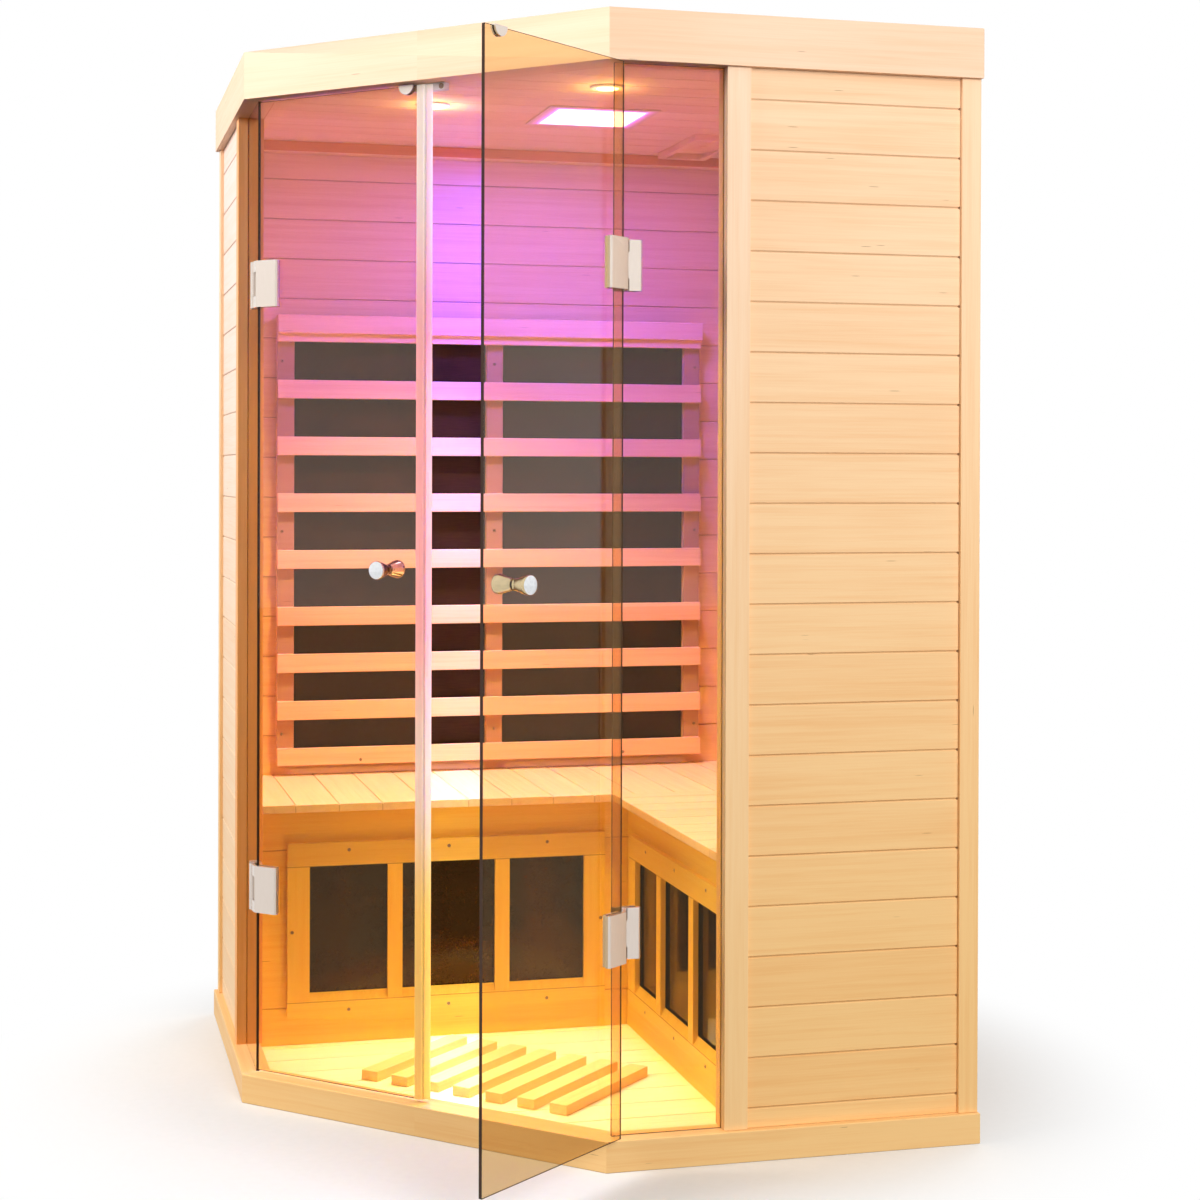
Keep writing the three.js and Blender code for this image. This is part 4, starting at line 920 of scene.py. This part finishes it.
# %% Catch discs and cable gland
DISC = [(0, 0), (0.0050, 0), (0.0050, 0.0002), (0.0047, 0.0004), (0.0030, 0.0004), (0.0026, 0.0002),
        (0, 0.0002)]
DISC_ALONG, CATCH_FRONT, DISC_HEIGHT = 0.027, 0.0340, 1.8082
GLAND = [(0.0050, 1.8822), (0.0099, 1.8822), (0.0100, 1.8826), (0.0100, 1.8923), (0.0157, 1.8923),
         (0.0160, 1.8926), (0.0160, 1.8941), (0.0156, 1.8947), (0.0128, 1.8951), (0.0122, 1.8955),
         (0.0119, 1.8966), (0.0112, 1.8972), (0.0100, 1.8973), (0.0060, 1.8973), (0.0051, 1.8969)]
GLAND_PLACE = (-0.32, 0.47, 0)
discs, gland = bmesh.new(), bmesh.new()
for sign in (-1, 1):
    turned_shape(discs, DISC, front_place(sign * DISC_ALONG, CATCH_FRONT, DISC_HEIGHT, True))
turned_shape(gland, GLAND, Matrix.Translation(GLAND_PLACE))
add_piece("catch_discs", finished_mesh("catch_discs", discs), SCREW_STEEL, "cabin")
gland_piece = add_piece("turned_gland", finished_mesh("gland", gland), BLACK_PLASTIC, "cabin",
                        ["cable_gland"])
print("gland:", len(gland_piece.data.polygons), "faces")

# %% [markdown]
# ## Screws
# Small cross-head screws hold the calf frames, the backrests, the hinge plates and the roof cover.
# Copying a modelled screw by hand would work for a few. Geometry Nodes does it for all of them: a mesh of
# bare points says where the screws are, an attribute says which way each one faces, and the tree puts a
# screw head on every point, turned by a seeded random angle as no two screws stop at the same one.

# %% Screw head and its tree
HEAD_SIDES = 16


def screw_head():
    """Low dome of radius 1 with a cross recess, its underside at height 0."""
    shape = bmesh.new()
    profile = [(0.0, 0.34), (0.22, 0.36), (0.45, 0.36), (0.7, 0.31), (0.93, 0.16), (1.0, 0.0)]
    rings = []
    for radius, height in profile:
        ring = []
        for i in range(HEAD_SIDES if radius else 1):
            angle = 2 * math.pi * i / HEAD_SIDES
            x, y = radius * math.cos(angle), radius * math.sin(angle)
            in_cross = min(abs(x), abs(y)) < 0.1 and max(abs(x), abs(y)) < 0.5
            ring.append(shape.verts.new((x, y, 0.06 if in_cross else height)))
        rings.append(ring)
    for inner, outer in zip(rings, rings[1:]):
        for i in range(HEAD_SIDES):
            loop = [outer[i], outer[(i + 1) % HEAD_SIDES], inner[(i + 1) % len(inner)], inner[i % len(inner)]]
            shape.faces.new(list(dict.fromkeys(loop)))
    shape.faces.new(rings[-1][::-1])
    return finished_mesh("screw_head", shape)


def screw_tree():
    tree = bpy.data.node_groups.new("screws", "GeometryNodeTree")
    kinds = [("Places", "Geometry"), ("Head", "Object"), ("Head Radius", "Float"), ("Seed", "Int"),
             ("Finish", "Material")]
    for label, kind in kinds:
        tree.interface.new_socket(label, in_out="INPUT", socket_type="NodeSocket" + kind)
    tree.interface.new_socket("Screws", in_out="OUTPUT", socket_type="NodeSocketGeometry")
    given = add_node(tree, "NodeGroupInput").outputs
    facing = add_node(tree, "GeometryNodeInputNamedAttribute", {"Name": "facing"}, data_type="FLOAT_VECTOR")
    straight = add_node(tree, "FunctionNodeAlignRotationToVector", {"Vector": facing.outputs[0]}, axis="Z")
    chance = add_node(tree, "FunctionNodeRandomValue", {"Seed": given["Seed"]}, data_type="FLOAT")
    chance.inputs[3].default_value = math.pi
    spin = add_node(tree, "FunctionNodeAxisAngleToRotation", {"Axis": (0, 0, 1), "Angle": chance.outputs[1]})
    turned_to = add_node(tree, "FunctionNodeRotateRotation", {0: straight.outputs[0], 1: spin.outputs[0]},
                         rotation_space="LOCAL")
    head = add_node(tree, "GeometryNodeObjectInfo", {"Object": given["Head"]})
    placed = add_node(tree, "GeometryNodeInstanceOnPoints", {
        "Points": given["Places"], "Instance": head.outputs["Geometry"],
        "Rotation": turned_to.outputs[0], "Scale": given["Head Radius"]})
    real = add_node(tree, "GeometryNodeRealizeInstances", {0: placed.outputs[0]})
    shown = add_node(tree, "GeometryNodeSetMaterial", {"Geometry": real.outputs[0], "Material": given["Finish"]})
    feed(tree, add_node(tree, "NodeGroupOutput").inputs[0], shown.outputs[0])
    return tree


SCREW_TREE = screw_tree()
head_object = bpy.data.objects.new("screw_head", screw_head())
print("screw head:", len(head_object.data.polygons), "faces")


# %% Screws on a body
def grow_screws(name, body, rows, radius, material, seed):
    """A screw for each (place, facing), as one plain mesh that rides on a body."""
    points = bpy.data.meshes.new(name)
    points.from_pydata([place for place, _ in rows], [], [])
    facing = points.attributes.new("facing", "FLOAT_VECTOR", "POINT")
    facing.data.foreach_set("vector", [v for _, direction in rows for v in direction])
    holder = bpy.data.objects.new("holder", points)
    scene.collection.objects.link(head_object)
    scene.collection.objects.link(holder)
    modifier = holder.modifiers.new("screws", "NODES")
    modifier.node_group = SCREW_TREE
    values = {"Head": head_object, "Head Radius": radius, "Seed": seed, "Finish": material}
    for item in SCREW_TREE.interface.items_tree:
        if item.in_out == "INPUT" and item.name in values:
            modifier[item.identifier] = values[item.name]
    graph = bpy.context.evaluated_depsgraph_get()
    mesh = bpy.data.meshes.new_from_object(holder.evaluated_get(graph), depsgraph=graph)
    bpy.data.objects.remove(holder)
    scene.collection.objects.unlink(head_object)
    mesh.name = name
    return add_piece(name, mesh, material, body)


def both_sides(rows):
    """The same screws on the left, mirrored over the plane between the two sides."""
    return rows + [((y, x, z), (fy, fx, fz)) for (x, y, z), (fx, fy, fz) in rows]


CALF_FACE, SLAT_FACE, STILE_FACE = 0.1797, 0.5414, 0.5554
inward = (0, -1, 0)
calf_rows = [((x, CALF_FACE, z), inward) for x in (-0.3715, -0.1759, 0.0198) for z in (0.0985, 0.409)]
calf_rows += [((x, CALF_FACE, 0.253), inward) for x in (-0.4815, 0.1298)]
back_rows = [((x, STILE_FACE, z), inward) for x in (-0.4625, -0.011, 0.4405) for z in (0.592, 1.018, 1.376)]
back_rows += [((x, SLAT_FACE, 0.5355), inward) for x in (-0.2974, 0.2754)]
frame_screws = grow_screws("frame_screws", "cabin", both_sides(calf_rows + back_rows), 0.0034, SCREW_STEEL, 3)
print("frame screws:", len(calf_rows + back_rows) * 2, "with", len(frame_screws.data.polygons), "faces")

# %% [markdown]
# The hinges clamp the glass between two plates. Outside the plate is plain, and the screws are on the inner
# plate, two to each leaf. The roof cover is screwed down round its edge, where nobody looks but a fitter.

# %% Screws on the hinges and the roof
HINGE_HEIGHTS = [middle + step for middle in (0.386, 1.4825) for step in (-0.026, 0.026)]
FIXED_PLATE, DOOR_PLATE = -0.5607, 0.0363
fixed_rows = both_sides([((-0.0245, FIXED_PLATE, z), (0, 1, 0)) for z in HINGE_HEIGHTS])
grow_screws("hinge_screws", "cabin", fixed_rows, 0.0036, SCREW_STEEL, 5)
for side, sign, swing in (("left", -1, Matrix()), ("right", 1, SWUNG)):
    places = [swing @ front_place(sign * 0.3445, DOOR_PLATE, z, False) for z in HINGE_HEIGHTS]
    door_rows = [(place.translation, place.col[2].xyz) for place in places]
    grow_screws(f"{side}_door_screws", f"{side}_door", door_rows, 0.0036, SCREW_STEEL, 7)
COVER_TOP, COVER_EDGE = 1.8920, 0.565
upward = (0, 0, 1)
cover_rows = [((x, COVER_EDGE, COVER_TOP), upward) for x in (-0.54, -0.27, 0.0, 0.27, 0.54)]
cover_rows += [((x, -COVER_EDGE, COVER_TOP), upward) for x in (0.0, 0.27, 0.54)]
front_rows = [((*(FRONT + ALONG * t + INTO * 0.036).xy, COVER_TOP), upward) for t in (-0.25, 0.0, 0.25)]
cover_rows = both_sides(cover_rows) + front_rows
grow_screws("cover_screws", "cabin", cover_rows, 0.0036, SCREW_STEEL, 9)
print("hinge screws:", len(fixed_rows) + 2 * len(door_rows), "cover screws:", len(cover_rows))
